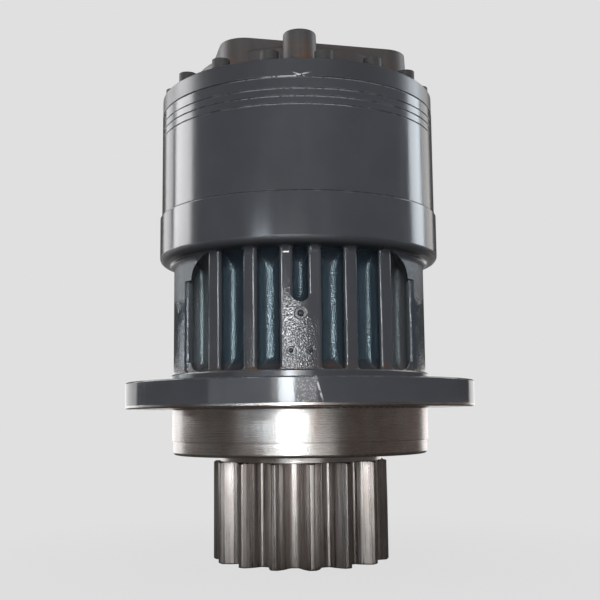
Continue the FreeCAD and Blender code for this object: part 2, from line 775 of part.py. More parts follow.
def ring_gear():
    body = new_body("ring_gear")
    outside = "case_diameter / 2"
    grooves = []
    for index in (2, 1, 0):
        middle = "%s - groove_top_drop - %d * groove_pitch" % (CASE_TOP, index)
        grooves += [(outside, middle + " - groove_width / 2"), (outside + " - groove_depth", middle),
                    (outside, middle + " + groove_width / 2")]
    turned = revolve(body, "ring_turned", [
        ("register_diameter / 2", "housing_height"),
        (outside, "housing_height"),
    ] + grooves + [
        (outside, CASE_TOP),
        ("register_diameter / 2", CASE_TOP),
        ("register_diameter / 2", CASE_TOP + " - register_depth"),
        (RING_TIP, CASE_TOP + " - register_depth"),
        (RING_TIP, "housing_height + register_depth"),
        ("register_diameter / 2", "housing_height + register_depth"),
    ])
    dress_rings(body, "ring_edges", "Chamfer", "joint_edge", turned,
                [(outside, "housing_height"), (outside, CASE_TOP)])
    module, teeth = value("gear_module"), int(value("ring_teeth"))
    pitch_radius = module * teeth / 2.0
    space = math.pi * module / 2.0 + value("backlash") / 2.0
    points = tooth_outline(module, teeth, pitch_radius + 1.25 * module, pitch_radius - module, space)
    sketch = tooth_sketch(body, "ring_tooth_spaces", points, CASE_TOP)
    pad(body, "ring_teeth_cut", sketch, "ring_height", kind="Pocket")
    case_joint_holes(body, "ring_screw_hole", "housing_height", CASE_TOP, "screw_hole / 2")
    for name, base, top in (("lower", "housing_height", "housing_height + dowel_length / 2"),
                            ("upper", CASE_TOP + " - dowel_length / 2", CASE_TOP)):
        seat = round_bar(body, "dowel_" + name, "dowel_diameter / 2", base, top,
                         ("screw_circle / 2", "0"), cut=True)
        repeat(body, "dowels_" + name, [seat], "2")
    keep("ring_gear", body)


def lobe_places():
    """Corner lobes of the motor pad, turned and shifted with it, as pairs of expressions."""
    places = []
    for side, end in ((-1, -1), (1, -1), (1, 1), (-1, 1)):
        along = "(pad_shift + %d * (pad_length / 2 - pad_corner))" % side
        off = "(%d * (pad_width / 2 - pad_corner))" % end
        places.append(("%s * cos(pad_turn * 1deg) - %s * sin(pad_turn * 1deg)" % (along, off),
                       "%s * sin(pad_turn * 1deg) + %s * cos(pad_turn * 1deg)" % (along, off)))
    return places


def top_cover():
    body = new_body("top_cover")
    drum = "drum_diameter / 2"
    inside = "(drum_diameter / 2 - drum_wall)"
    turned = revolve(body, "cover_turned", [
        (inside, CASE_TOP + " - register_height"),
        ("register_diameter / 2 - running_play", CASE_TOP + " - register_height"),
        ("register_diameter / 2 - running_play", CASE_TOP),
        ("(seal_circle - seal_groove_width) / 2", CASE_TOP),
        ("(seal_circle - seal_groove_width) / 2", CASE_TOP + " + seal_section"),
        ("(seal_circle + seal_groove_width) / 2", CASE_TOP + " + seal_section"),
        ("(seal_circle + seal_groove_width) / 2", CASE_TOP),
        ("case_diameter / 2 - cover_step", CASE_TOP),
        ("case_diameter / 2 - cover_step", COVER_TOP),
        (drum, COVER_TOP),
        (drum, DRUM_TOP),
        ("motor_bore / 2", DRUM_TOP),
        ("motor_bore / 2", DRUM_TOP + " - drum_roof"),
        (inside, DRUM_TOP + " - drum_roof"),
    ])
    edges = dress_rings(body, "drum_top_round", "Fillet", "drum_round", turned, [(drum, DRUM_TOP)])
    edges = dress_rings(body, "drum_foot_fillet", "Fillet", "drum_round", edges, [(drum, COVER_TOP)])
    edges = dress_rings(body, "cover_edges", "Chamfer", "joint_edge", edges,
                        [("case_diameter / 2 - cover_step", CASE_TOP),
                         ("case_diameter / 2 - cover_step", COVER_TOP)])
    for number, place in enumerate(lobe_places(), start=1):
        round_bar(body, "pad_lobe_%d" % number, "pad_corner + lobe_draft", COVER_TOP, PAD_TOP, place,
                  far_radius="pad_corner")
    sketch = new_sketch(body, "pad_outline", "XY_Plane", DRUM_TOP + " - drum_round")
    sketch.addGeometry(pad_outline(), False)
    pad(body, "motor_pad", sketch, "pad_height + drum_round")
    boss = round_bar(body, "filler_boss", "boss_diameter / 2 + boss_draft", COVER_TOP, BOSS_TOP, BOSS_CENTRE,
                     far_radius="boss_diameter / 2 - boss_draft")
    rim = value(BOSS_TOP) - 0.01
    front = -value("pad_width") / 2
    dress(body, "boss_top_round", "Fillet", "boss_round", boss,
          lambda edge: edge.BoundBox.ZMin > rim and edge.BoundBox.YMax < front)
    web = outline_sketch(body, "boss_web_outline", [
        ("0 - boss_web / 2", COVER_TOP),
        ("boss_web / 2", COVER_TOP),
        ("boss_web / 2", DRUM_TOP + " + pad_height / 2"),
        ("0 - boss_web / 2", DRUM_TOP + " + pad_height / 2"),
    ], "XZ_Plane", "boss_web_start")
    pad(body, "boss_web_block", web, "boss_radius - boss_web_start")
    round_bar(body, "motor_bore_cut", "motor_bore / 2", DRUM_TOP + " - drum_roof", PAD_TOP, cut=True)
    round_bar(body, "motor_register_cut", "motor_register / 2", PAD_TOP + " - motor_register_depth",
              PAD_TOP, cut=True)
    for number, place in enumerate(lobe_places(), start=1):
        round_bar(body, "motor_thread_%d" % number, "motor_thread / 2",
                  PAD_TOP + " - motor_thread_depth", PAD_TOP, place, cut=True)
    plug_base = BOSS_TOP + " - fill_recess - fill_length"
    round_bar(body, "fill_hole", "fill_thread / 2", plug_base + " - fill_passage - 2 * fill_gap", BOSS_TOP,
              BOSS_CENTRE, cut=True)
    cross_bar(body, "fill_passage_cut", "fill_passage / 2", inside + " - drum_wall / 3", "boss_radius",
              plug_base + " - fill_passage / 2 - fill_gap", direction=value("boss_angle") - 90)
    spot = round_bar(body, "spot_face_cut", "spot_face / 2", COVER_TOP + " - spot_face_depth", COVER_TOP,
                     screw_centre(), cut=True)
    repeat(body, "spot_faces", [spot], "screw_count")
    case_joint_holes(body, "cover_screw_hole", CASE_TOP, COVER_TOP, "screw_hole / 2")
    seat = round_bar(body, "cover_dowel", "dowel_diameter / 2", CASE_TOP, CASE_TOP + " + dowel_length / 2",
                     ("screw_circle / 2", "0"), cut=True)
    repeat(body, "cover_dowels", [seat], "2")
    keep("top_cover", body)


def pad_outline():
    """Rounded rectangle of the motor pad, drawn at its turn and shift."""
    turn = math.radians(value("pad_turn"))
    radius = value("pad_corner")
    centres = [Vector(value(across), value(deep), 0) for across, deep in lobe_places()]
    pieces = []
    for index, centre in enumerate(centres):
        start = math.pi + index * math.pi / 2 + turn
        circle = Part.Circle(centre, Vector(0, 0, 1), radius)
        pieces.append(Part.ArcOfCircle(circle, start, start + math.pi / 2))
        finish = start + math.pi / 2
        following = centres[(index + 1) % 4]
        out = Vector(radius * math.cos(finish), radius * math.sin(finish), 0)
        pieces.append(Part.LineSegment(centre + out, following + out))
    return pieces


def case_screws():
    """Socket head cap screws through the cover and the ring gear into the lip."""
    body = new_body("case_screws", groups=True)
    seat = "(%s - spot_face_depth)" % COVER_TOP
    head = round_bar(body, "screw_heads", "screw_head / 2", seat, seat + " + screw_head_height",
                     screw_centre())
    shank = round_bar(body, "screw_shanks", "screw_thread / 2", "housing_height - screw_grip_in_lip",
                      seat, screw_centre())
    sketch = new_sketch(body, "screw_socket_outline", "XY_Plane", seat + " + screw_head_height")
    centre = Vector(value(screw_centre()[0]), value(screw_centre()[1]), 0)
    across = value("screw_socket") / math.sqrt(3)
    corners = [centre + Vector(across * math.cos(math.pi * k / 3), across * math.sin(math.pi * k / 3), 0)
               for k in range(6)]
    sketch.addGeometry([Part.LineSegment(corners[k], corners[(k + 1) % 6]) for k in range(6)], False)
    socket = pad(body, "screw_sockets", sketch, "screw_socket_depth", kind="Pocket")
    repeat(body, "screws_around", [head, shank, socket], "screw_count")
    keep("case_screws", body)


def case_dowels():
    body = new_body("case_dowels", groups=True)
    bars = []
    for name, joint in (("lower", "housing_height"), ("upper", CASE_TOP)):
        bars.append(round_bar(body, "dowel_bar_" + name, "dowel_diameter / 2", joint + " - dowel_length / 2",
                              joint + " + dowel_length / 2", ("screw_circle / 2", "0")))
    repeat(body, "dowels_around", bars, "2")
    keep("case_dowels", body)


def case_seals():
    """The two sealing rings pressed flat into the grooves of the case joints."""
    for label, base in (("lower_case_seal", "housing_height - seal_section"), ("upper_case_seal", CASE_TOP)):
        keep(label, turned_part(label, [
            ("(seal_circle - seal_section) / 2", base),
            ("(seal_circle + seal_section) / 2", base),
            ("(seal_circle + seal_section) / 2", base + " + seal_section"),
            ("(seal_circle - seal_section) / 2", base + " + seal_section"),
        ]))


def plugs_and_rivets():
    front = value("rib_phase") - 90
    face = "rib_diameter / 2"
    plug = new_body("plate_plug")
    cross_bar(plug, "plate_plug_bar", "plate_plug_diameter / 2", face + " - plate_plug_length",
              face + " - plate_plug_sink", "plate_plug_height", cut=False, direction=front)
    cross_ball(plug, "plate_plug_knob", "plate_plug_dome", face + " - plate_plug_sink - plate_plug_dome / 3",
               "plate_plug_height", front)
    keep("plate_plug", plug)
    rivets = new_body("plate_rivets", groups=True)
    for side in (-1, 1):
        place = front + side * rivet_turn()
        crown = face + " - rivet_recess_depth + rivet_stand"
        cross_bar(rivets, "rivet_shank_%d" % (side + 2), "rivet_diameter / 2", face + " - rivet_length",
                  crown, "rivet_height", cut=False, direction=place)
        cross_ball(rivets, "rivet_head_%d" % (side + 2), "rivet_diameter / 2", crown, "rivet_height", place)
    keep("plate_rivets", rivets)
    drain = new_body("drain_plug")
    back = value("rib_phase") + 90
    seat = face + " - drain_seat_depth"
    cross_bar(drain, "drain_bar", "drain_thread / 2", seat + " - drain_length", seat, "drain_height",
              cut=False, direction=back)
    head = seat + " + drain_head_height"
    cross_bar(drain, "drain_head", "drain_seat / 2 - drain_head_inset", seat, head, "drain_height",
              cut=False, direction=back)
    cross_bar(drain, "drain_socket", "drain_thread / 4", seat + " - drain_head_height / 2", head,
              "drain_height", direction=back)
    keep("drain_plug", drain)
    filler = new_body("fill_plug")
    top = "(%s - fill_recess)" % BOSS_TOP
    round_bar(filler, "fill_bar", "fill_thread / 2", top + " - fill_length", top, BOSS_CENTRE)
    round_bar(filler, "fill_socket", "fill_thread / 4", top + " - fill_length / 2", top, BOSS_CENTRE,
              cut=True)
    keep("fill_plug", filler)


def pinion_points():
    """Outline of the pinion with broad-footed involute teeth."""
    module = value(PINION_MODULE)
    return tooth_outline(module, int(value("pinion_teeth")), value("pinion_diameter / 2"), value(PINION_ROOT),
                         module * value("pinion_tooth_thickness"), steps=5,
                         first=math.radians(value("pinion_tooth_angle") - 90),
                         pressure_angle="pinion_pressure_angle")


def pinion_shaft():
    body = new_body("pinion_shaft")
    top = "(0 - pinion_drop)"
    base = "(0 - pinion_drop - pinion_width)"
    sketch = tooth_sketch(body, "pinion_outline", pinion_points(), base)
    teeth = pad(body, "pinion_teeth_pad", sketch, "pinion_width")
    root = value(PINION_ROOT)

    def root_edge(edge):
        box = edge.BoundBox
        middle = box.Center
        return box.ZMax - box.ZMin > 1 and abs(math.hypot(middle.x, middle.y) - root) < 0.01

    dress(body, "pinion_root_rounds", "Fillet", "pinion_root_fillet", teeth, root_edge)
    for name, inner, outer, end in (
            ("low", base, base + " + pinion_chamfer", base),
            ("high", top, top + " - pinion_chamfer", top)):
        revolve(body, "pinion_chamfer_" + name, [
            ("pinion_diameter / 2 - pinion_chamfer_depth", end),
            ("pinion_diameter / 2 + pinion_chamfer", end),
            ("pinion_diameter / 2 + pinion_chamfer", outer),
            ("pinion_diameter / 2", outer),
        ], kind="Groove")
    revolve(body, "shaft_turned", [
        ("0", top + " - shaft_root_overlap"),
        ("collar_seat_diameter / 2", top + " - shaft_root_overlap"),
        ("collar_seat_diameter / 2", LOWER_CONE_BASE),
        ("lower_bearing_bore / 2", LOWER_CONE_BASE),
        ("lower_bearing_bore / 2", LOWER_CONE_BASE + " + lower_cone_width + shaft_land"),
        ("lower_bearing_bore / 2 - shaft_relief",
         LOWER_CONE_BASE + " + lower_cone_width + shaft_land + shaft_relief"),
        ("lower_bearing_bore / 2 - shaft_relief", "upper_shoulder_height - shaft_taper_end"),
        ("upper_bearing_bore / 2", "upper_shoulder_height - shaft_taper_start"),
        ("upper_bearing_bore / 2", UPPER_CONE_TOP),
        ("nut_thread_diameter / 2", UPPER_CONE_TOP),
        ("nut_thread_diameter / 2", HUB_BASE),
        ("0", HUB_BASE),
    ])
    spline = spline_points(int(value("spline_teeth")), value("spline_module"), 0)
    pad(body, "shaft_spline", tooth_sketch(body, "shaft_spline_outline", spline, HUB_BASE),
        "%s - %s" % (END_PLATE_BASE, HUB_BASE))
    round_bar(body, "centre_bore", "pinion_centre_bore / 2", base, base + " + pinion_centre_depth", cut=True)
    screw = round_bar(body, "end_screw_thread_hole", "end_screw_thread / 2",
                      END_PLATE_BASE + " - end_screw_length", END_PLATE_BASE, ("end_screw_circle / 2", "0"),
                      cut=True)
    repeat(body, "end_screw_thread_holes", [screw], "end_screw_count")
    keep("pinion_shaft", body)


def shaft_fittings():
    low = "(0 - pinion_drop)"
    seat = "collar_seat_diameter / 2"
    keep("seal_collar", turned_part("seal_collar", [
        (seat, low),
        ("collar_flange_diameter / 2", low),
        ("collar_flange_diameter / 2", low + " + collar_flange_height"),
        ("collar_diameter / 2", low + " + collar_flange_height"),
        ("collar_diameter / 2", LOWER_CONE_BASE),
        (seat, LOWER_CONE_BASE),
    ]))
    seal_base = "(%s + seal_inset)" % NOSE_END
    keep("oil_seal", turned_part("oil_seal", [
        ("collar_diameter / 2 + seal_neck", seal_base),
        ("lower_bearing_outside / 2", seal_base),
        ("lower_bearing_outside / 2", seal_base + " + seal_width"),
        ("lower_bearing_outside / 2 - seal_wall", seal_base + " + seal_width"),
        ("lower_bearing_outside / 2 - seal_wall", seal_base + " + seal_flange"),
        ("collar_diameter / 2 + seal_neck + seal_flange", seal_base + " + seal_flange"),
        ("collar_diameter / 2 + seal_neck - 1", seal_base + " + seal_width - seal_end_drop"),
        ("collar_diameter / 2 + seal_lip_gap", seal_base + " + seal_width - 2 * seal_end_drop"),
    ]))
    keep("lock_washer", turned_part("lock_washer", [
        ("nut_thread_diameter / 2 + spline_play", UPPER_CONE_TOP),
        ("nut_diameter / 2 - 2", UPPER_CONE_TOP),
        ("nut_diameter / 2 - 2", NUT_BASE),
        ("nut_thread_diameter / 2 + spline_play", NUT_BASE),
    ]))
    nut = turned_part("bearing_nut", [
        ("nut_thread_diameter / 2", NUT_BASE),
        ("nut_diameter / 2", NUT_BASE),
        ("nut_diameter / 2", NUT_TOP),
        ("nut_thread_diameter / 2", NUT_TOP),
    ])
    slot = outline_sketch(nut, "nut_slot_outline", [
        ("nut_diameter / 2 - nut_slot_depth", "0 - nut_slot_width / 2"),
        ("nut_diameter / 2 + 5", "0 - nut_slot_width / 2"),
        ("nut_diameter / 2 + 5", "nut_slot_width / 2"),
        ("nut_diameter / 2 - nut_slot_depth", "nut_slot_width / 2"),
    ], "XY_Plane", NUT_TOP)
    cut = pad(nut, "nut_slot", slot, "nut_height", kind="Pocket")
    repeat(nut, "nut_slots", [cut], "nut_slot_count")
    keep("bearing_nut", nut)
    plate = turned_part("end_plate", [
        ("0", END_PLATE_BASE),
        ("end_plate_diameter / 2", END_PLATE_BASE),
        ("end_plate_diameter / 2", END_PLATE_TOP),
        ("0", END_PLATE_TOP),
    ])
    hole = round_bar(plate, "end_plate_hole", "end_screw_thread / 2 + spline_play", END_PLATE_BASE,
                     END_PLATE_TOP, ("end_screw_circle / 2", "0"), cut=True)
    repeat(plate, "end_plate_holes", [hole], "end_screw_count")
    keep("end_plate", plate)
    screws = new_body("end_plate_screws", groups=True)
    place = ("end_screw_circle / 2", "0")
    parts = [
        round_bar(screws, "end_screw_shank", "end_screw_thread / 2",
                  END_PLATE_BASE + " - end_screw_length + end_screw_gap", END_PLATE_TOP, place),
        round_bar(screws, "end_screw_head", "end_screw_head / 2", END_PLATE_TOP,
                  END_PLATE_TOP + " + end_screw_head_height", place),
    ]
    repeat(screws, "end_screws_around", parts, "end_screw_count")
    keep("end_plate_screws", screws)


def taper_bearing(stem, flip):
    """Cup, cone, rollers and cage of a taper roller bearing; the big ends face away from the shoulder."""
    bore, outside = value(stem + "_bearing_bore") / 2, value(stem + "_bearing_outside") / 2
    width, cup_width = value(stem + "_bearing_width"), value(stem + "_cup_width")
    cone_width = value(stem + "_cone_width")
    shoulder = value(stem + "_shoulder_height")
    count = int(value("roller_count"))
    margin, play = value("race_margin"), value("roller_play")
    tilt = math.radians(value("roller_tilt"))
    middle_radius = (bore + outside) / 2
    widest = middle_radius * math.sin(math.pi / count) * value("roller_fill")
    roller_radius = min(widest, (outside - bore) * value("roller_share"))
    taper = math.atan(roller_radius * math.sin(tilt) / middle_radius)
    low = width - cone_width + 2 * margin
    high = cup_width + 0.5 * (width - cup_width) - margin
    middle = (low + high) / 2

    # Depth runs from the cup's shoulder side (0) to the big-end side, and radius from the shaft axis.
    def line_radius(base_radius, slope, depth):
        return base_radius + (depth - middle) * math.tan(slope)

    def spot(radius, depth):
        return (radius, shoulder - depth if flip else shoulder + depth)

    def turned(label, corners):
        body = new_body(label)
        sketch = new_sketch(body, label + "_outline", "XZ_Plane")
        points = [Vector(*(spot(*corner) + (0,))) for corner in corners]
        sketch.addGeometry([Part.LineSegment(point, points[(index + 1) % len(points)])
                            for index, point in enumerate(points)], False)
        feature = body.newObject("PartDesign::Revolution", label + "_turned")
        feature.Profile = sketch
        feature.ReferenceAxis = (sketch, ["V_Axis"])
        feature.Angle = 360
        doc.recompute()
        return body

    cup_slope, cone_slope = tilt + taper, tilt - taper
    cup_side = roller_radius * (math.cos(tilt) + math.sin(tilt) * math.tan(cup_slope))
    cone_side = roller_radius * (math.cos(tilt) + math.sin(tilt) * math.tan(cone_slope))
    cup_race = middle_radius + cup_side + play
    cone_race = middle_radius - cone_side - play
    keep(stem + "_bearing_cup", turned(stem + "_bearing_cup", [
        (outside, 0), (outside, cup_width), (line_radius(cup_race, cup_slope, cup_width), cup_width),
        (line_radius(cup_race, cup_slope, 0), 0)]))
    length = (high - low) / math.cos(tilt)
    small = roller_radius - length / 2 * math.tan(taper)
    large = roller_radius + length / 2 * math.tan(taper)
    cone_low = width - cone_width
    small_rib = low - margin / 2
    rib_foot = high + large * math.sin(tilt) + value("roller_end_gap")
    rib = value("cone_rib_share") * roller_radius
    rib_radius = line_radius(cone_race, cone_slope, rib_foot) + rib
    keep(stem + "_bearing_cone", turned(stem + "_bearing_cone", [
        (bore, cone_low), (line_radius(cone_race, cone_slope, small_rib) + rib / 2, cone_low),
        (line_radius(cone_race, cone_slope, small_rib) + rib / 2, small_rib),
        (line_radius(cone_race, cone_slope, small_rib), small_rib),
        (line_radius(cone_race, cone_slope, rib_foot), rib_foot),
        (rib_radius, rib_foot - rib * math.tan(tilt)),
        (rib_radius, width), (bore, width)]))

    # One roller: a frustum on the tilted line through the middle of the row.
    direction = Vector(math.sin(tilt), 0, -math.cos(tilt) if flip else math.cos(tilt))
    along, up = spot(middle_radius, middle)
    start = Vector(along, 0, up) - direction * (length / 2)
    roller = Part.makeCone(small, large, length, start, direction)
    keep(stem + "_bearing_rollers", group(stem + "_bearing_rollers", around(roller, count, 0)))

    # The cage is a thin tapered band with a window round each roller.
    half = value("cage_thickness") / 2
    cage_end = high + value("cage_overhang")
    lift = value("cage_lift_share") * roller_radius
    cage = turned(stem + "_bearing_cage", [
        (line_radius(middle_radius + lift - half, tilt, low - margin), low - margin),
        (line_radius(middle_radius + lift + half, tilt, low - margin), low - margin),
        (line_radius(middle_radius + lift + half, tilt, cage_end), cage_end),
        (line_radius(middle_radius + lift - half, tilt, cage_end), cage_end)])
    window = cage.newObject("PartDesign::SubtractiveCone", stem + "_cage_window")
    window.Radius1 = small + 3 * play
    window.Radius2 = large + 3 * play
    window.Height = length + 4 * play
    window.Placement = Placement(start - direction * (2 * play), Rotation(Vector(0, 0, 1), direction))
    doc.recompute()
    repeat(cage, stem + "_cage_windows", [window], "roller_count")
    keep(stem + "_bearing_cage", cage)


def place_on_circle(body, angle, spin=0):
    """Move a part that is modelled on the axis out to a planet's place."""
    turn = math.radians(angle)
    distance = value(CENTRE_DISTANCE)
    body.Placement = Placement(Vector(distance * math.cos(turn), distance * math.sin(turn), 0),
                               Rotation(Vector(0, 0, 1), spin))


def planet_angles(stage):
    count = int(value("planet_count"))
    first = 0 if stage == 2 else 180.0 / count
    return [first + index * 360.0 / count for index in range(count)]


def first_planet_place(stage):
    turn = "0deg" if stage == 2 else "(180deg / planet_count)"
    return ("%s * cos(%s)" % (CENTRE_DISTANCE, turn), "%s * sin(%s)" % (CENTRE_DISTANCE, turn))


STAGES = {
    2: {"base": STAGE_2_BASE, "top": STAGE_2_TOP, "pin": "pin_2_diameter / 2",
        "pin_base": CARRIER_2_BASE + " + pin_2_inset", "pin_top": CARRIER_2_TOP},
    1: {"base": STAGE_1_BASE, "top": STAGE_1_TOP, "pin": "pin_1_diameter / 2",
        "pin_base": CARRIER_1_BASE + " + pin_1_inset", "pin_top": CARRIER_1_TOP},
}


def planets(stage):
    """Three planets with their needle rings, pins and thrust washers."""
    facts = STAGES[stage]
    points = stage_gear_points(int(value(PLANET_TEETH)))
    letters = "abcdefgh"
    ring_out = "(%s + needle_thickness)" % facts["pin"]
    pitch = 360.0 / value(PLANET_TEETH)
    for letter, angle in zip(letters, planet_angles(stage)):
        label = "planet_%d_%s" % (stage, letter)
        body = new_body(label)
        sketch = tooth_sketch(body, label + "_outline", points, facts["base"])
        pad(body, label + "_teeth", sketch, "%s - %s" % (facts["top"], facts["base"]))
        round_bar(body, label + "_bore", ring_out, facts["base"], facts["top"], cut=True)
        # a tooth space faces the sun tooth that lies on the line of centres
        place_on_circle(body, angle, angle + 180 + pitch / 2)
        keep(label, body)
        needles = turned_part("planet_%d_%s_needles" % (stage, letter), [
            (facts["pin"] + " + running_play", facts["base"] + " + needle_end_gap"),
            (ring_out + " - running_play", facts["base"] + " + needle_end_gap"),
            (ring_out + " - running_play", facts["top"] + " - needle_end_gap"),
            (facts["pin"] + " + running_play", facts["top"] + " - needle_end_gap"),
        ])
        place_on_circle(needles, angle)
        keep("planet_%d_%s_needles" % (stage, letter), needles)
    pins = new_body("planet_%d_pins" % stage, groups=True)
    pin_place = first_planet_place(stage)
    pin = round_bar(pins, "pin_%d" % stage, facts["pin"], facts["pin_base"], facts["pin_top"], pin_place)
    repeat(pins, "pins_%d_around" % stage, [pin], "planet_count")
    keep("planet_%d_pins" % stage, pins)
    washers = new_body("planet_%d_washers" % stage, groups=True)
    for side, base in (("low", "(%s - window_gap)" % facts["base"]),
                       ("high", "(%s + window_gap - thrust_washer)" % facts["top"])):
        disc = round_bar(washers, "washer_%d_%s" % (stage, side), ring_out + " + thrust_washer_overlap", base,
                         base + " + thrust_washer", pin_place)
        repeat(washers, "washers_%d_%s" % (stage, side), [disc], "planet_count")
    eye = round_bar(washers, "washer_eye_%d" % stage, facts["pin"] + " + running_play",
                    facts["base"] + " - window_gap", facts["top"] + " + window_gap", pin_place, cut=True)
    repeat(washers, "washer_eyes_%d" % stage, [eye], "planet_count")
    keep("planet_%d_washers" % stage, washers)


def carrier_windows(body, stage, base, top, pin_base, pin_top):
    facts = STAGES[stage]
    place = first_planet_place(stage)
    window = round_bar(body, "window_%d" % stage, PLANET_TIP + " + window_gap", base, top, place, cut=True)
    repeat(body, "windows_%d" % stage, [window], "planet_count")
    bore = round_bar(body, "pin_bore_%d" % stage, facts["pin"], pin_base, pin_top, place, cut=True)
    repeat(body, "pin_bores_%d" % stage, [bore], "planet_count")


def carriers():
    window_low = "(%s - window_gap)" % STAGE_2_BASE
    window_high = "(%s + window_gap)" % STAGE_2_TOP
    carrier = turned_part("carrier_2", [
        ("spline_module * spline_teeth / 2 - spline_module / 2 + spline_play", HUB_BASE),
        ("carrier_hub_diameter / 2", HUB_BASE),
        ("carrier_hub_diameter / 2", CARRIER_2_BASE),
        ("carrier_radius", CARRIER_2_BASE),
        ("carrier_radius", CARRIER_2_TOP),
        ("coupling_hub_diameter / 2 + coupling_gap", CARRIER_2_TOP),
        ("coupling_hub_diameter / 2 + coupling_gap", window_high),
        (SUN_TIP + " + window_gap", window_high),
        (SUN_TIP + " + window_gap", END_PLATE_BASE),
        ("spline_module * spline_teeth / 2 - spline_module / 2 + spline_play", END_PLATE_BASE),
    ])
    spline = spline_points(int(value("spline_teeth")), value("spline_module"), value("spline_play"))
    sketch = tooth_sketch(carrier, "carrier_2_spline_outline", spline, END_PLATE_BASE)
    pad(carrier, "carrier_2_spline", sketch, "%s - %s" % (END_PLATE_BASE, HUB_BASE), kind="Pocket")
    carrier_windows(carrier, 2, window_low, window_high, STAGES[2]["pin_base"], CARRIER_2_TOP)
    keep("carrier_2", carrier)

    window_low = "(%s - window_gap)" % STAGE_1_BASE
    window_high = "(%s + window_gap)" % STAGE_1_TOP
    root = "(gear_module * (sun_teeth - 2.5) / 2 + spline_play)"
    carrier = turned_part("carrier_1", [
        (root, CARRIER_1_BASE + " - coupling_hub_drop"),
        ("coupling_hub_diameter / 2", CARRIER_1_BASE + " - coupling_hub_drop"),
        ("coupling_hub_diameter / 2", CARRIER_1_BASE),
        ("carrier_radius - carrier_1_inset", CARRIER_1_BASE),
        ("carrier_radius - carrier_1_inset", CARRIER_1_TOP),
        (SUN_TIP + " + window_gap", CARRIER_1_TOP),
        (SUN_TIP + " + window_gap", window_low),
        (root, window_low),
    ])
    teeth = int(value("sun_teeth"))
    module = value("gear_module")
    play = value("spline_play")
    pitch_radius = module * teeth / 2.0
    points = tooth_outline(module, teeth, pitch_radius + module + play, pitch_radius - 1.25 * module + play,
                           math.pi * module / 2.0 - value("backlash") / 2.0 + 2 * play)
    sketch = tooth_sketch(carrier, "carrier_1_spline_outline", points, window_low)
    pad(carrier, "carrier_1_spline", sketch, "stage_1_lower_plate + coupling_hub_drop", kind="Pocket")
    carrier_windows(carrier, 1, window_low, window_high, STAGES[1]["pin_base"], CARRIER_1_TOP)
    keep("carrier_1", carrier)


def suns():
    points = stage_gear_points(int(value("sun_teeth")))
    second = new_body("sun_2")
    pad(second, "sun_2_teeth", tooth_sketch(second, "sun_2_outline", points, SUN_2_BASE),
        "%s - %s" % (SUN_2_TOP, SUN_2_BASE))
    keep("sun_2", second)
    first = new_body("sun_1")
    pad(first, "sun_1_teeth", tooth_sketch(first, "sun_1_outline", points, SUN_1_BASE),
        "%s - %s" % (STAGE_1_TOP, SUN_1_BASE))
    hub_top = "(%s + input_hub_height)" % STAGE_1_TOP
    round_bar(first, "input_hub", "input_hub_diameter / 2", STAGE_1_TOP, hub_top)
    teeth, module = int(value("input_spline_teeth")), value("input_spline_module")
    spline = spline_points(teeth, module, value("spline_play"))
    pad(first, "input_spline_cut", tooth_sketch(first, "input_spline_outline", spline, hub_top),
        "input_hub_height + stage_1_width - input_spline_floor", kind="Pocket")
    keep("sun_1", first)
    inside_screws = "(end_screw_circle - end_screw_head) / 2 - running_play"
    for label, base, top, outside in (
            ("sun_2_thrust_washer", END_PLATE_TOP, SUN_2_BASE, inside_screws),
            ("sun_1_thrust_washer", SUN_2_TOP, SUN_1_BASE, "sun_washer_diameter / 2")):
        keep(label, turned_part(label, [
            ("sun_washer_bore / 2", base),
            (outside, base),
            (outside, top),
            ("sun_washer_bore / 2", top),
        ]))


housing()
ring_gear()
top_cover()
case_screws()
case_dowels()
case_seals()
plugs_and_rivets()
pinion_shaft()
shaft_fittings()
taper_bearing("lower", True)
taper_bearing("upper", False)
carriers()
suns()
for stage_number in (2, 1):
    planets(stage_number)

doc.recompute()
for item in doc.Objects:
    if {"Invalid", "Error"} & set(item.State):
        raise RuntimeError("failed object: " + item.Label)
for label, item in nodes.items():
    if item.Shape.isNull() or not item.Shape.isValid():
        raise RuntimeError("bad shape: " + label)

os.makedirs("parts", exist_ok=True)
for label, item in nodes.items():
    item.Shape.exportStep("parts/%s.step" % label)
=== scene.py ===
import json
import math

import bpy
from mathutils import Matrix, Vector


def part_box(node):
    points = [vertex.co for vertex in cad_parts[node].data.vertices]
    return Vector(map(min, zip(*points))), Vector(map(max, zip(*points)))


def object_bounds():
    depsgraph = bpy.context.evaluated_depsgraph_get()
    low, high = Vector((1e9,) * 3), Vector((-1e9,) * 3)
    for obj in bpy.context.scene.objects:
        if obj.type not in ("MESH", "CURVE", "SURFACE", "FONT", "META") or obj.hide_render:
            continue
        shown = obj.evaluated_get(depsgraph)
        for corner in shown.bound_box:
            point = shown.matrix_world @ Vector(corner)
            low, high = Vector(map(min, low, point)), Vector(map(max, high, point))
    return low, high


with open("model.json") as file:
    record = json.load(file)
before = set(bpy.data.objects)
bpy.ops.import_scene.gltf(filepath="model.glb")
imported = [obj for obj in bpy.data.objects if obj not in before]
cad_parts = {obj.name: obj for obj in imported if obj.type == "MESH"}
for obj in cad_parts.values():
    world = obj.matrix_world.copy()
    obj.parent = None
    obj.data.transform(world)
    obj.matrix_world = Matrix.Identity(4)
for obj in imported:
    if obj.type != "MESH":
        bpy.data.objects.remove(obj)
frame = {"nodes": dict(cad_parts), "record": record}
cad_box = [list(corner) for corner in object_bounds()]

MM = 0.001

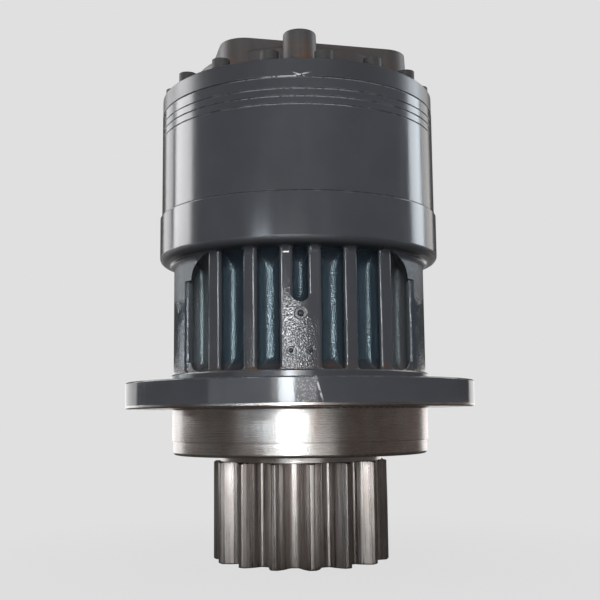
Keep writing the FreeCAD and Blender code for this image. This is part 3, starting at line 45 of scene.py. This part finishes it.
# Places on the object, from the frame's boxes and from sizes in the source
RIM_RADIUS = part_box("housing")[1].x
CASE_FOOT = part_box("ring_gear")[0].z
CASE_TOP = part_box("ring_gear")[1].z
FLOOR_LEVEL = cad_box[0][2]
FLANGE_TOP = 36 * MM
RIB_FOOT = FLANGE_TOP + 11 * MM
RIB_RADIUS = 178.5 * MM
LIP_UNDER = CASE_FOOT - 66 * MM
COVER_STEP = CASE_TOP + 28 * MM
GROOVE_DROP = 15 * MM
GROOVE_PITCH = 10.2 * MM
GROOVE_COUNT = 3

# Where a look begins and ends, in depth, across or in height
CASE_FRONT = (-120 * MM, -100 * MM)
FLANGE_FRONT = (-200 * MM, -190 * MM)
OUTER_POCKETS = (112 * MM, 124 * MM)
SIDE_PANELS = (132 * MM, 140 * MM)
SAND_FADE = (95 * MM, 130 * MM)
PANEL_FLARE = (135 * MM, 160 * MM)
FOOT_DUST_AND_LIGHT_RISE = 16 * MM
RUST_RISE = 30 * MM

# Marks of wear and painted highlights, with each line by its two ends in X and Z and its thickness
BARE_EDGE = 4.5 * MM
BARE_FADE = 1.2 * MM
BARE_RAGGED = 1.5 * MM
GROOVE_HIGHLIGHT_REACH = 74 * MM
PEELED_LEFT = -4 * MM
PEELED_RIGHT = 21 * MM
FLANGE_SCRATCH = ((19 * MM, 35 * MM), (26 * MM, 10 * MM), 2.2 * MM)
COVER_EDGE = CASE_TOP + 1.5 * MM
COVER_SCRATCHES_AND_HIGHLIGHT = [
    ((-14 * MM, COVER_EDGE - 3 * MM), (13 * MM, COVER_EDGE + 3 * MM), 1.5 * MM),
    ((-4 * MM, COVER_EDGE + 3.5 * MM), (12 * MM, COVER_EDGE - 2 * MM), 1.3 * MM),
    # A painted highlight along the cover's joint with the case
    ((-40 * MM, CASE_TOP + 0.6 * MM), (2 * MM, CASE_TOP + 0.6 * MM), 1.2 * MM),
]

PAINT = (0.062, 0.065, 0.074)
# Darker bluish paint: painted shade and painted reflection in the deep pockets and on the side panels
PAINT_SHADE_BLUE = (0.036, 0.051, 0.066)
# Pale paint for the outer pockets: painted light
PAINT_LIT_PALE = (0.150, 0.152, 0.155)
# Dust colour, also used as painted light at the housing's rib feet
PAINT_DUST_AND_LIGHT = (0.088, 0.074, 0.070)
PAINT_WORN_AND_LIT = (0.30, 0.30, 0.30)
PAINT_GROOVE_HIGHLIGHT = (0.26, 0.27, 0.28)
PAINT_SCRATCH_AND_HIGHLIGHT = (0.62, 0.63, 0.64)
RUST = (0.120, 0.062, 0.032)
BLACK = (0.0, 0.0, 0.0)
WHITE = (1.0, 1.0, 1.0)
BLUE_GLINT = (0.72, 0.93, 1.0)

BARE_STEEL = (0.56, 0.55, 0.54)
TURNED_DARK = (0.52, 0.51, 0.50)
TURNED_PALE = (0.60, 0.59, 0.58)
TURNED_STAIN = (0.38, 0.27, 0.22)
GEAR_STEEL = (0.47, 0.44, 0.42)
GEAR_DARK = (0.42, 0.40, 0.39)
GEAR_PALE = (0.56, 0.53, 0.51)
GEAR_STAIN = (0.25, 0.19, 0.16)

BACKGROUND = (0.745, 0.745, 0.745)
SOFT_LIGHT = (0.95, 0.97, 1.0)
COOL = (0.86, 0.94, 1.0)
WARM = (1.0, 0.97, 0.94)
CLOTH = (0.080, 0.072, 0.066)
WAINSCOT = (0.52, 0.45, 0.42)

# The range that holds most of a noise's values, and the samples that a wide rounding needs
MOST_NOISE = (0.3, 0.7)
WIDE_ROUNDING = 12


def scaled(colour, share):
    return tuple(share * part for part in colour)


class Nodes:
    """Short forms for making and linking the shader nodes of one tree."""

    def __init__(self, tree):
        self.tree = tree

    def fill(self, node, inputs):
        """Sets a node's inputs, each to a plain value or to a link from a socket."""
        for key, value in inputs.items():
            if isinstance(value, bpy.types.NodeSocket):
                self.tree.links.new(value, node.inputs[key])
            else:
                node.inputs[key].default_value = value

    def node(self, kind, inputs=None, **settings):
        node = self.tree.nodes.new(kind)
        for key, value in settings.items():
            setattr(node, key, value)
        self.fill(node, inputs or {})
        return node

    def math(self, operation, first, second=0.0):
        return self.node("ShaderNodeMath", {0: first, 1: second}, operation=operation).outputs[0]

    def times(self, first, second):
        return self.math("MULTIPLY", first, second)

    def plus(self, first, second):
        return self.math("ADD", first, second)

    def minus(self, first, second):
        return self.math("SUBTRACT", first, second)

    def most(self, first, second):
        return self.math("MAXIMUM", first, second)

    def seen_or_mirrored(self):
        """1 for rays from the camera and from gloss and glass, and 0 for the rays of soft light."""
        path = self.node("ShaderNodeLightPath")
        direct = self.most(path.outputs["Is Camera Ray"], path.outputs["Is Glossy Ray"])
        return self.most(direct, path.outputs["Is Transmission Ray"])

    def finish(self, output, factor, first, second):
        """Mixes two shaders into the tree's output."""
        mixed = self.node("ShaderNodeMixShader", {0: factor, 1: first.outputs[0], 2: second.outputs[0]})
        self.tree.links.new(mixed.outputs[0], self.tree.nodes[output].inputs["Surface"])


class Surface(Nodes):
    """A procedural material, made of one Principled shader and the nodes that feed it."""

    def __init__(self, name, colour, metallic=0.0, roughness=0.5, extra=None):
        self.material = bpy.data.materials.new(name)
        self.material.use_nodes = True
        super().__init__(self.material.node_tree)
        self.shader = self.tree.nodes["Principled BSDF"]
        self.fill(self.shader, {"Base Color": (*colour, 1), "Metallic": metallic, "Roughness": roughness})
        self.fill(self.shader, extra or {})
        self.place = self.node("ShaderNodeTexCoord").outputs["Object"]

    def axes(self):
        parts = self.node("ShaderNodeSeparateXYZ", {0: self.place})
        return parts.outputs["X"], parts.outputs["Y"], parts.outputs["Z"]

    def radius(self):
        """Distance from the object's upright axis."""
        flat = self.node("ShaderNodeVectorMath", {0: self.place, 1: (1, 1, 0)}, operation="MULTIPLY")
        length = self.node("ShaderNodeVectorMath", {0: flat.outputs[0]}, operation="LENGTH")
        return length.outputs["Value"]

    def noise(self, scale, detail=2.0, roughness=0.5, place=None):
        inputs = {"Vector": place or self.place, "Scale": scale, "Detail": detail, "Roughness": roughness}
        return self.node("ShaderNodeTexNoise", inputs).outputs["Fac"]

    def grain(self, level, upright, detail, roughness):
        """Noise that runs one way, by its scale along both level axes and its scale in height."""
        scales = (level, level, upright)
        place = self.node("ShaderNodeVectorMath", {0: self.place, 1: scales}, operation="MULTIPLY")
        return self.noise(1.0, detail, roughness, place.outputs[0])

    def span(self, value, low, high, from_value=0.0, to_value=1.0):
        """Maps value from low..high to from_value..to_value, clamped and eased."""
        inputs = {"Value": value, "From Min": low, "From Max": high, "To Min": from_value, "To Max": to_value}
        return self.node("ShaderNodeMapRange", inputs, interpolation_type="SMOOTHSTEP").outputs["Result"]

    def between(self, value, low, high, edge):
        """1 inside low..high and 0 outside, with soft edges."""
        rising = self.span(value, low - edge, low + edge)
        falling = self.span(value, high - edge, high + edge, 1.0, 0.0)
        return self.times(rising, falling)

    def blend(self, factor, first, second):
        """Mixes two colours, given as sockets or as triples."""
        node = self.node("ShaderNodeMix", data_type="RGBA")
        for index, value in ((0, factor), (6, first), (7, second)):
            if isinstance(value, tuple):
                value = (*value, 1)
            self.fill(node, {index: value})
        return node.outputs[2]

    def bump(self, height, strength, distance, normal):
        inputs = {"Height": height, "Strength": strength, "Distance": distance, "Normal": normal}
        return self.node("ShaderNodeBump", inputs).outputs["Normal"]

    def soft_edges(self, radius, samples=4):
        """The normal, rounded off along edges and in corners."""
        return self.node("ShaderNodeBevel", {"Radius": radius}, samples=samples).outputs["Normal"]

    def worn_and_lit_edges(self, radius):
        """1 along sharp edges, broken up by noise."""
        normals = {0: self.soft_edges(radius), 1: self.node("ShaderNodeNewGeometry").outputs["Normal"]}
        turned = self.node("ShaderNodeVectorMath", normals, operation="DOT_PRODUCT").outputs["Value"]
        edge = self.span(turned, 0.86, 0.985, 1.0, 0.0)
        return self.times(edge, self.span(self.noise(70.0, 4.0, 0.65), 0.42, 0.6))


def paint_coat(surface, sandy, lumpy, painted_shade_blue, dust_and_light, dull=0.0, rounding=0.9 * MM, samples=4):
    """Colour, roughness and normal of slate machine paint, from shares that are numbers or sockets.

    sandy and lumpy are the fine and the coarse unevenness of the casting; the bluish share darkens the
    colour as painted shade and painted reflection, and the dusty share tints it with dust, which on the
    housing's rib feet is also painted light; dull takes off the gloss, and rounding softens edges and
    corners.
    """
    clouds = surface.span(surface.noise(9.0, 4.0, 0.6), *MOST_NOISE)
    colour = surface.blend(clouds, scaled(PAINT, 0.93), scaled(PAINT, 1.08))
    colour = surface.blend(painted_shade_blue, colour, PAINT_SHADE_BLUE)
    colour = surface.blend(dust_and_light, colour, PAINT_DUST_AND_LIGHT)
    # Pale along edges: worn paint, and a painted highlight along the rib edges
    colour = surface.blend(surface.times(surface.worn_and_lit_edges(1.2 * MM), 0.7), colour, PAINT_WORN_AND_LIT)
    orange_peel = surface.times(surface.noise(260.0, 2.0), 0.035)
    sand = surface.times(surface.noise(520.0, 0.5, 0.5), surface.times(sandy, 0.44))
    lumps = surface.times(surface.noise(95.0, 2.0, 0.5), surface.times(lumpy, 0.5))
    height = surface.plus(orange_peel, surface.plus(sand, lumps))
    normal = surface.bump(height, 1.0, 1 * MM, surface.soft_edges(rounding, samples))
    roughness = surface.span(surface.grain(60.0, 8.0, 4.0, 0.6), *MOST_NOISE, 0.14, 0.20)
    roughness = surface.plus(roughness, surface.times(dull, 0.34))
    return colour, roughness, normal


def scratches_and_highlights(surface, colour, lines, pale=PAINT_SCRATCH_AND_HIGHLIGHT):
    """Pale broken lines on the object's front, for scratches and for painted highlights, each by its two ends
    in X and Z and its thickness.
    """
    across, depth, height = surface.axes()
    front = surface.span(depth, *CASE_FRONT, 1.0, 0.0)
    line_breaks = surface.span(surface.noise(240.0, 3.0, 0.6), 0.36, 0.52)
    for (start_x, start_z), (end_x, end_z), thick in lines:
        length = math.hypot(end_x - start_x, end_z - start_z)
        along_x, along_z = (end_x - start_x) / length, (end_z - start_z) / length
        off_x = surface.minus(across, start_x)
        off_z = surface.minus(height, start_z)
        along = surface.plus(surface.times(off_x, along_x), surface.times(off_z, along_z))
        beside = surface.minus(surface.times(off_x, along_z), surface.times(off_z, along_x))
        width = surface.between(beside, -thick / 2, thick / 2, 0.3 * MM)
        fade = min(14 * MM, 0.3 * length)
        line = surface.times(width, surface.between(along, 0.0, length, fade))
        mark = surface.times(line, surface.times(line_breaks, front))
        colour = surface.blend(mark, colour, pale)
    return colour


def level_line(level, left, right, thick):
    """A level line for the pale lines of scratches and painted highlights."""
    return (left, level), (right, level), thick


def case_paint():
    """Smooth machine paint of the ring gear case, with painted highlights as pale lines at the front along
    its grooves and top edge.
    """
    surface = Surface("case_paint", PAINT, roughness=0.25)
    colour, roughness, normal = paint_coat(surface, sandy=0.02, lumpy=0.0, painted_shade_blue=0.0, dust_and_light=0.0)
    # Painted highlights: pale lines along the grooves and the top edge at the front
    grooves = [CASE_TOP - GROOVE_DROP - step * GROOVE_PITCH for step in range(GROOVE_COUNT)]
    lines = [level_line(groove - 0.7 * MM, -GROOVE_HIGHLIGHT_REACH, GROOVE_HIGHLIGHT_REACH, 1.4 * MM) for groove in grooves]
    lines.append(level_line(CASE_TOP - 0.8 * MM, -1.1 * GROOVE_HIGHLIGHT_REACH, 2.1 * GROOVE_HIGHLIGHT_REACH, 1.2 * MM))
    colour = scratches_and_highlights(surface, colour, lines, PAINT_GROOVE_HIGHLIGHT)
    surface.fill(surface.shader, {"Base Color": colour, "Roughness": roughness, "Normal": normal})
    return surface.material


def cover_paint():
    """Dull machine paint, and above the disc matte, dusty and cast, with rust round the motor pad's foot."""
    surface = Surface("cover_paint", PAINT, roughness=0.4)
    height = surface.axes()[2]
    cast = surface.span(height, COVER_STEP, COVER_STEP + 3 * MM)
    lumpy = surface.times(cast, 0.35)
    dust_and_light = surface.times(cast, surface.span(surface.noise(22.0, 5.0, 0.65), *MOST_NOISE, 0.45, 0.95))
    dull = surface.most(cast, 0.42)
    colour, roughness, normal = paint_coat(surface, 0.03, lumpy, 0.0, dust_and_light, dull)
    colour = surface.blend(0.18, colour, BLACK)
    rusty = surface.span(surface.grain(26.0, 90.0, 5.0, 0.7), 0.46, 0.62)
    rust_foot = COVER_STEP + 4 * MM
    low = surface.times(cast, surface.span(height, rust_foot, rust_foot + RUST_RISE, 1.0, 0.12))
    colour = surface.blend(surface.times(surface.times(rusty, low), 0.75), colour, RUST)
    # Scratches, and a painted highlight along the joint with the case
    colour = scratches_and_highlights(surface, colour, COVER_SCRATCHES_AND_HIGHLIGHT)
    surface.fill(surface.shader, {"Base Color": colour, "Roughness": roughness, "Normal": normal})
    return surface.material


def turn_steel(surface, shader):
    """Makes a shader turned steel: fine rings round the axis, brown stains, and a streak across the rings."""
    height = surface.axes()[2]
    fine = 900.0
    rings = surface.node("ShaderNodeCombineXYZ", {0: surface.times(surface.radius(), fine),
                                                  1: surface.times(height, fine), 2: 0.0})
    lines = surface.noise(1.0, 4.0, 0.7, rings.outputs[0])
    rough = surface.noise(420.0, 3.0, 0.6)
    stain = surface.span(surface.grain(17.0, 5.0, 5.0, 0.7), 0.40, 0.66)
    colour = surface.blend(surface.span(lines, *MOST_NOISE), TURNED_DARK, TURNED_PALE)
    colour = surface.blend(surface.times(stain, 0.6), colour, TURNED_STAIN)
    roughness = surface.span(lines, 0.2, 0.8, 0.22, 0.30)
    relief = surface.plus(surface.times(lines, 0.02), surface.times(rough, 0.10))
    normal = surface.bump(relief, 1.0, 1 * MM, surface.soft_edges(0.8 * MM))
    around = surface.node("ShaderNodeTangent", direction_type="RADIAL", axis="Z").outputs["Tangent"]
    surface.fill(shader, {"Base Color": colour, "Roughness": roughness, "Normal": normal, "Tangent": around,
                          "Anisotropic": 0.3, "Anisotropic Rotation": 0.25})


def rib_zones(surface):
    """Masks for the housing's ribbed part, its pockets' deep walls, and the wide panels at its sides."""
    across, _, height = surface.axes()
    radius = surface.radius()
    ribs = surface.times(surface.between(height, RIB_FOOT, LIP_UNDER, 4 * MM),
                         surface.span(radius, RIB_RADIUS + 1 * MM, RIB_RADIUS + 4 * MM, 1.0, 0.0))
    deep = surface.times(ribs, surface.span(radius, RIB_RADIUS - 12 * MM, RIB_RADIUS - 3 * MM, 1.0, 0.0))
    panels = surface.times(ribs, surface.span(surface.math("ABSOLUTE", across), *SIDE_PANELS))
    return ribs, deep, panels


def flange_wear(surface, colour, flange):
    """Peeled flecks and one scratch on the front of the flange's rim."""
    across, depth, _ = surface.axes()
    rim = surface.times(flange, surface.span(surface.radius(), RIM_RADIUS - 2 * MM, RIM_RADIUS - 1 * MM))
    front = surface.times(rim, surface.span(depth, *FLANGE_FRONT, 1.0, 0.0))
    peeled = surface.times(surface.between(across, PEELED_LEFT, PEELED_RIGHT, 3 * MM), front)
    flecks = surface.span(surface.grain(520.0, 380.0, 4.0, 0.75), 0.53, 0.60)
    colour = surface.blend(surface.times(surface.times(peeled, flecks), 0.5), colour, PAINT_SCRATCH_AND_HIGHLIGHT)
    return surface.blend(front, colour, scratches_and_highlights(surface, colour, [FLANGE_SCRATCH]))


def housing_material():
    """Paint, sandy on the ribs, with painted shade in the pockets and under the lip and painted light in the
    outer pockets, and with the spigot and the flange's lowest edge left as bare turned steel.
    """
    surface = Surface("housing_paint_and_steel", PAINT, roughness=0.25)
    across, _, height = surface.axes()
    beside = surface.math("ABSOLUTE", across)
    ribs, deep, panels = rib_zones(surface)
    flange = surface.between(height, 5 * MM, FLANGE_TOP, 1 * MM)
    under_lip = surface.between(height, LIP_UNDER - 1 * MM, LIP_UNDER + 9 * MM, 1 * MM)

    grit = surface.most(surface.span(height, *SAND_FADE, 1.0, 0.2), surface.times(deep, 1.3))
    sandy = surface.most(surface.times(ribs, grit), 0.01)
    lumpy = surface.times(ribs, surface.span(beside, *SIDE_PANELS, 0.25, 1.0))
    # Painted shade and painted reflection: the deep pockets and the side panels are darkened and tinted blue
    shaded_blue_pockets = surface.times(deep, surface.span(beside, *OUTER_POCKETS, 1.0, 0.25))
    lit_pale_pockets = surface.minus(deep, shaded_blue_pockets)
    painted_shade_blue = surface.most(shaded_blue_pockets, surface.times(panels, 0.7))
    # Dust at the rib feet, and painted light there in place of a cove that would catch the light
    foot = surface.times(ribs, surface.span(height, RIB_FOOT, RIB_FOOT + FOOT_DUST_AND_LIGHT_RISE, 1.0, 0.0))
    dust_and_light = surface.times(foot, surface.span(surface.noise(30.0, 4.0, 0.6), *MOST_NOISE, 0.3, 0.9))
    flare = surface.times(panels, surface.span(height, *PANEL_FLARE))
    dull = surface.most(surface.times(under_lip, 0.9), flare)
    rounding = surface.plus(surface.times(deep, 11 * MM), 0.9 * MM)
    colour, roughness, normal = paint_coat(surface, sandy, lumpy, painted_shade_blue, dust_and_light, dull, rounding, WIDE_ROUNDING)

    # Painted light: the outer pockets are painted pale where the side lamps would light them
    colour = surface.blend(surface.times(lit_pale_pockets, 0.8), colour, PAINT_LIT_PALE)
    colour = flange_wear(surface, colour, flange)
    # Painted shade: the underside of the lip is darkened
    colour = surface.blend(surface.times(under_lip, 0.35), colour, BLACK)
    rusty = surface.times(surface.between(height, RIB_FOOT - 2 * MM, RIB_FOOT + 9 * MM, 5 * MM),
                          surface.span(surface.noise(38.0, 4.0, 0.7), 0.52, 0.68))
    colour = surface.blend(surface.times(rusty, 0.6), colour, RUST)
    roughness = surface.minus(roughness, surface.times(surface.most(flange, ribs), 0.06))
    surface.fill(surface.shader, {"Base Color": colour, "Roughness": roughness, "Normal": normal,
                                  "Specular IOR Level": surface.plus(0.5, surface.times(deep, 0.5)),
                                  "Specular Tint": surface.blend(deep, WHITE, BLUE_GLINT)})

    steel = surface.node("ShaderNodeBsdfPrincipled", {"Metallic": 1.0})
    turn_steel(surface, steel)
    ragged = surface.times(surface.noise(120.0, 3.0), BARE_RAGGED)
    bare = surface.span(surface.plus(height, ragged), BARE_EDGE, BARE_EDGE + BARE_FADE, 1.0, 0.0)
    surface.finish("Material Output", bare, surface.shader, steel)
    return surface.material


def collar_steel():
    """Turned steel of the collar above the pinion."""
    surface = Surface("polished_collar", BARE_STEEL, metallic=1.0, roughness=0.28)
    turn_steel(surface, surface.shader)
    return surface.material


def cut_gear_steel():
    """Hardened gear steel: grain along the teeth, and the brown stain of the preserving oil."""
    surface = Surface("gear_steel", GEAR_STEEL, metallic=1.0, roughness=0.3)
    grain = surface.grain(420.0, 5.0, 5.0, 0.65)
    stain = surface.span(surface.grain(26.0, 9.0, 4.0, 0.6), 0.4, 0.7)
    colour = surface.blend(surface.span(grain, *MOST_NOISE), GEAR_DARK, GEAR_PALE)
    colour = surface.blend(surface.times(stain, 0.5), colour, GEAR_STAIN)
    roughness = surface.span(grain, *MOST_NOISE, 0.24, 0.36)
    normal = surface.bump(grain, 0.09, 0.2 * MM, surface.soft_edges(2.5 * MM, WIDE_ROUNDING))
    surface.fill(surface.shader, {"Base Color": colour, "Roughness": roughness, "Normal": normal})
    return surface.material


def plain_finish(name, colour, metallic, low, high):
    """A small part's finish, slightly mottled in colour and relief, and from low to high roughness."""
    surface = Surface(name, colour, metallic=metallic, roughness=(low + high) / 2)
    mottle = surface.noise(180.0, 4.0, 0.6)
    tint = surface.blend(surface.span(mottle, *MOST_NOISE), scaled(colour, 0.82), scaled(colour, 1.15))
    roughness = surface.span(mottle, *MOST_NOISE, low, high)
    normal = surface.bump(mottle, 0.15, 0.3 * MM, surface.soft_edges(0.6 * MM))
    surface.fill(surface.shader, {"Base Color": tint, "Roughness": roughness, "Normal": normal})
    return surface.material


def dress_nodes():
    """Gives each node its material, by its name or else by its slot in the record."""
    gear_steel = cut_gear_steel()
    screw_paint = plain_finish("screw_paint", (0.046, 0.044, 0.045), 0.0, 0.6, 0.75)
    seal_rubber = plain_finish("seal_rubber", (0.018, 0.018, 0.018), 0.0, 0.45, 0.6)
    by_name = {
        "housing": housing_material(),
        "ring_gear": case_paint(),
        "top_cover": cover_paint(),
        "pinion_shaft": gear_steel,
        "sun_1": gear_steel,
        "sun_2": gear_steel,
        "seal_collar": collar_steel(),
        "case_screws": screw_paint,
        "plate_plug": plain_finish("plug_paint", (0.050, 0.053, 0.060), 0.0, 0.18, 0.3),
        "plate_rivets": plain_finish("rivet_paint", (0.050, 0.050, 0.056), 0.1, 0.2, 0.34),
        "oil_seal": seal_rubber,
    }
    by_slot = {
        "gear_steel": gear_steel,
        "carrier_steel": plain_finish("carrier_steel", (0.40, 0.39, 0.38), 1.0, 0.3, 0.42),
        "pin_steel": plain_finish("pin_steel", (0.60, 0.59, 0.58), 1.0, 0.18, 0.28),
        "bearing_steel": plain_finish("bearing_steel", (0.62, 0.62, 0.61), 1.0, 0.12, 0.22),
        "roller_steel": plain_finish("roller_steel", (0.70, 0.70, 0.69), 1.0, 0.08, 0.16),
        "cage_steel": plain_finish("cage_steel", (0.42, 0.42, 0.42), 1.0, 0.3, 0.4),
        "seal_rubber": seal_rubber,
        "plug_steel": plain_finish("plug_steel", (0.22, 0.21, 0.20), 0.8, 0.3, 0.45),
        "bronze": plain_finish("bronze", (0.50, 0.34, 0.16), 1.0, 0.25, 0.38),
        "black_screws": screw_paint,
    }
    slots = {row["node"]: row["material_slot"] for row in frame["record"]["subparts"]}
    for name, node in frame["nodes"].items():
        node.data.materials.clear()
        node.data.materials.append(by_name.get(name) or by_slot[slots[name]])


def staged(name, points, faces, surface):
    """A mesh of the set, which isn't part of the object."""
    mesh = bpy.data.meshes.new(name)
    mesh.from_pydata(points, [], faces)
    mesh.materials.append(surface.material)
    piece = bpy.data.objects.new(name, mesh)
    bpy.context.scene.collection.objects.link(piece)
    return piece


def studio_floor():
    """Pale floor that keeps a soft shadow near the object and runs into the background further out."""
    surface = Surface("floor_pale", (0.35, 0.35, 0.35), roughness=0.9, extra={"Specular IOR Level": 0.0})
    share = surface.span(surface.radius(), 0.1, 0.7, 0.93, 1.0)
    glow = surface.node("ShaderNodeEmission", {"Color": (*BACKGROUND, 1), "Strength": 1.0})
    surface.finish("Material Output", surface.times(surface.seen_or_mirrored(), share), surface.shader, glow)
    reach = 14.0
    corners = [(-reach, -reach, 0), (reach, -reach, 0), (reach, reach, 0), (-reach, reach, 0)]
    floor = staged("floor", corners, [(0, 1, 2, 3)], surface)
    floor.location.z = FLOOR_LEVEL - 0.5 * MM


def studio_world():
    """Soft even light on the object, with a pale background for what is seen directly or mirrored."""
    world = bpy.data.worlds.new("studio")
    bpy.context.scene.world = world
    world.use_nodes = True
    nodes = Nodes(world.node_tree)
    light = world.node_tree.nodes["Background"]
    nodes.fill(light, {"Color": (*SOFT_LIGHT, 1), "Strength": 0.30})
    backdrop = nodes.node("ShaderNodeBackground", {"Color": (*BACKGROUND, 1)})
    nodes.finish("World Output", nodes.seen_or_mirrored(), light, backdrop)


def studio_drapes():
    """A dark tent and mat round the set, seen only in gloss, with a lighter band low on its wall."""
    reach, low, high = 2.4, FLOOR_LEVEL - 0.3 * MM, 3.2
    steps = 48
    points, faces = [], []
    for step in range(steps + 1):
        turn = 2 * math.pi * step / steps
        for level in (low, high):
            points.append((reach * math.cos(turn), reach * math.sin(turn), level))
    points.extend([(0, 0, low), (0, 0, high)])
    foot, crown = len(points) - 2, len(points) - 1
    for step in range(steps):
        first = 2 * step
        faces.append((first, first + 1, first + 3, first + 2))
        faces.append((first + 1, crown, first + 3))
        faces.append((first, first + 2, foot))
    surface = Surface("drape_cloth", CLOTH, roughness=1.0, extra={"Specular IOR Level": 0.0})
    band_low, band_high, band_edge = -0.14, 0.03, 0.02
    band = surface.between(surface.axes()[2], band_low, band_high, band_edge)
    wall = surface.span(surface.radius(), reach - 0.2, reach - 0.05)
    surface.fill(surface.shader, {"Base Color": surface.blend(surface.times(band, wall), CLOTH, WAINSCOT)})
    drapes = staged("drapes", points, faces, surface)
    drapes.visible_camera = False
    drapes.visible_diffuse = False
    drapes.visible_shadow = False


def area_light(name, place, target, size, power, colour=WHITE, diffuse=True, gloss=True):
    """A rectangular lamp that faces its target, with its size as width and height."""
    light = bpy.data.lights.new(name, "AREA")
    light.shape = "RECTANGLE"
    light.size, light.size_y = size
    light.energy = power
    light.color = colour
    lamp = bpy.data.objects.new(name, light)
    lamp.location = place
    lamp.rotation_euler = (Vector(target) - Vector(place)).to_track_quat("-Z", "Y").to_euler()
    lamp.visible_camera = False
    lamp.visible_diffuse = diffuse
    lamp.visible_glossy = gloss
    bpy.context.scene.collection.objects.link(lamp)


def sheet_power(strength, size):
    """The power that gives an area light a chosen brightness."""
    return strength * math.pi * size[0] * size[1]


def side_sheet(name, side, ends, heights, strength, colour=WHITE):
    """An upright soft box beside the object, facing it, given by its ends along Y and its heights."""
    away = 1.5
    place = (side * away, sum(ends) / 2, sum(heights) / 2)
    size = (ends[1] - ends[0], heights[1] - heights[0])
    area_light(name, place, (0, place[1], place[2]), size, sheet_power(strength, size), colour)


def front_sheet(name, away, ends, heights, strength, colour=WHITE):
    """An upright sheet before the object, seen in gloss alone, given by its ends along X and its heights."""
    place = (sum(ends) / 2, -away, sum(heights) / 2)
    size = (ends[1] - ends[0], heights[1] - heights[0])
    area_light(name, place, (place[0], 0, place[2]), size, sheet_power(strength, size), colour, diffuse=False)


def studio_lights():
    """Soft boxes beside the object, sheets before and behind it where its zones mirror them, and a fill."""
    left, right = -1, 1
    case, walls, panel = (0.42, 1.5), (0.42, 1.9), (0.12, 0.26)
    side_sheet("left_box", left, (0.02, 0.71), case, 7.0)
    side_sheet("right_box", right, (0.25, 0.80), case, 6.4, COOL)
    side_sheet("left_wall", left, (0.92, 3.0), walls, 2.4)
    side_sheet("right_wall", right, (0.92, 3.0), walls, 1.6, WARM)
    side_sheet("left_low", left, (0.35, 1.1), panel, 6.0, COOL)

    flange, spigot, floor = (0.0, 0.14), (-0.12, 0.01), (-0.2, -0.09)
    front_sheet("left_flange", 1.36, (-3.2, -0.38), flange, 1.0, COOL)
    front_sheet("window", 1.34, (-0.27, -0.07), flange, 24, COOL)
    front_sheet("window_middle", 1.34, (-0.34, 0.06), (0.14, 0.20), 34)
    front_sheet("window_upper", 1.34, (-0.34, 0.0), (0.20, 0.25), 15)
    front_sheet("window_top", 1.28, (-0.78, -0.52), (0.27, 0.40), 40, COOL)
    front_sheet("window_glow", 1.35, (-0.376, 0.224), (0.012, 0.12), 4)
    front_sheet("spigot_glow", 1.36, (-0.62, 0.36), spigot, 0.35, WARM)
    front_sheet("spigot_core", 1.35, (-0.24, -0.10), spigot, 1.2)
    front_sheet("floor_glow", 1.0, (-0.5, 0.5), floor, 1.7, WARM)

    area_light("low_sheet", (-0.34, 1.3, -0.04), (-0.34, 0, -0.04), (3.3, 0.32), 4.4)
    area_light("front_fill", (0.1, -1.9, 0.7), (0, 0, 0.15), (1.4, 1.0), 24, gloss=False)


def photo_camera():
    """The photo's view, from the height of the spigot, looking up a little and rolled by half a degree."""
    away, height = 1.356, -11.4 * MM
    look_up, roll = 7.0, 0.56
    camera = bpy.data.cameras.new("camera")
    camera.lens = 56.8
    camera.sensor_width = 36
    eye = bpy.data.objects.new("camera", camera)
    eye.location = (0, -away, height)
    eye.rotation_euler = (math.radians(90 + look_up), math.radians(roll), 0)
    bpy.context.scene.collection.objects.link(eye)
    bpy.context.scene.camera = eye


dress_nodes()
studio_floor()
studio_world()
studio_drapes()
studio_lights()
photo_camera()
bpy.context.scene.view_settings.view_transform = "Standard"
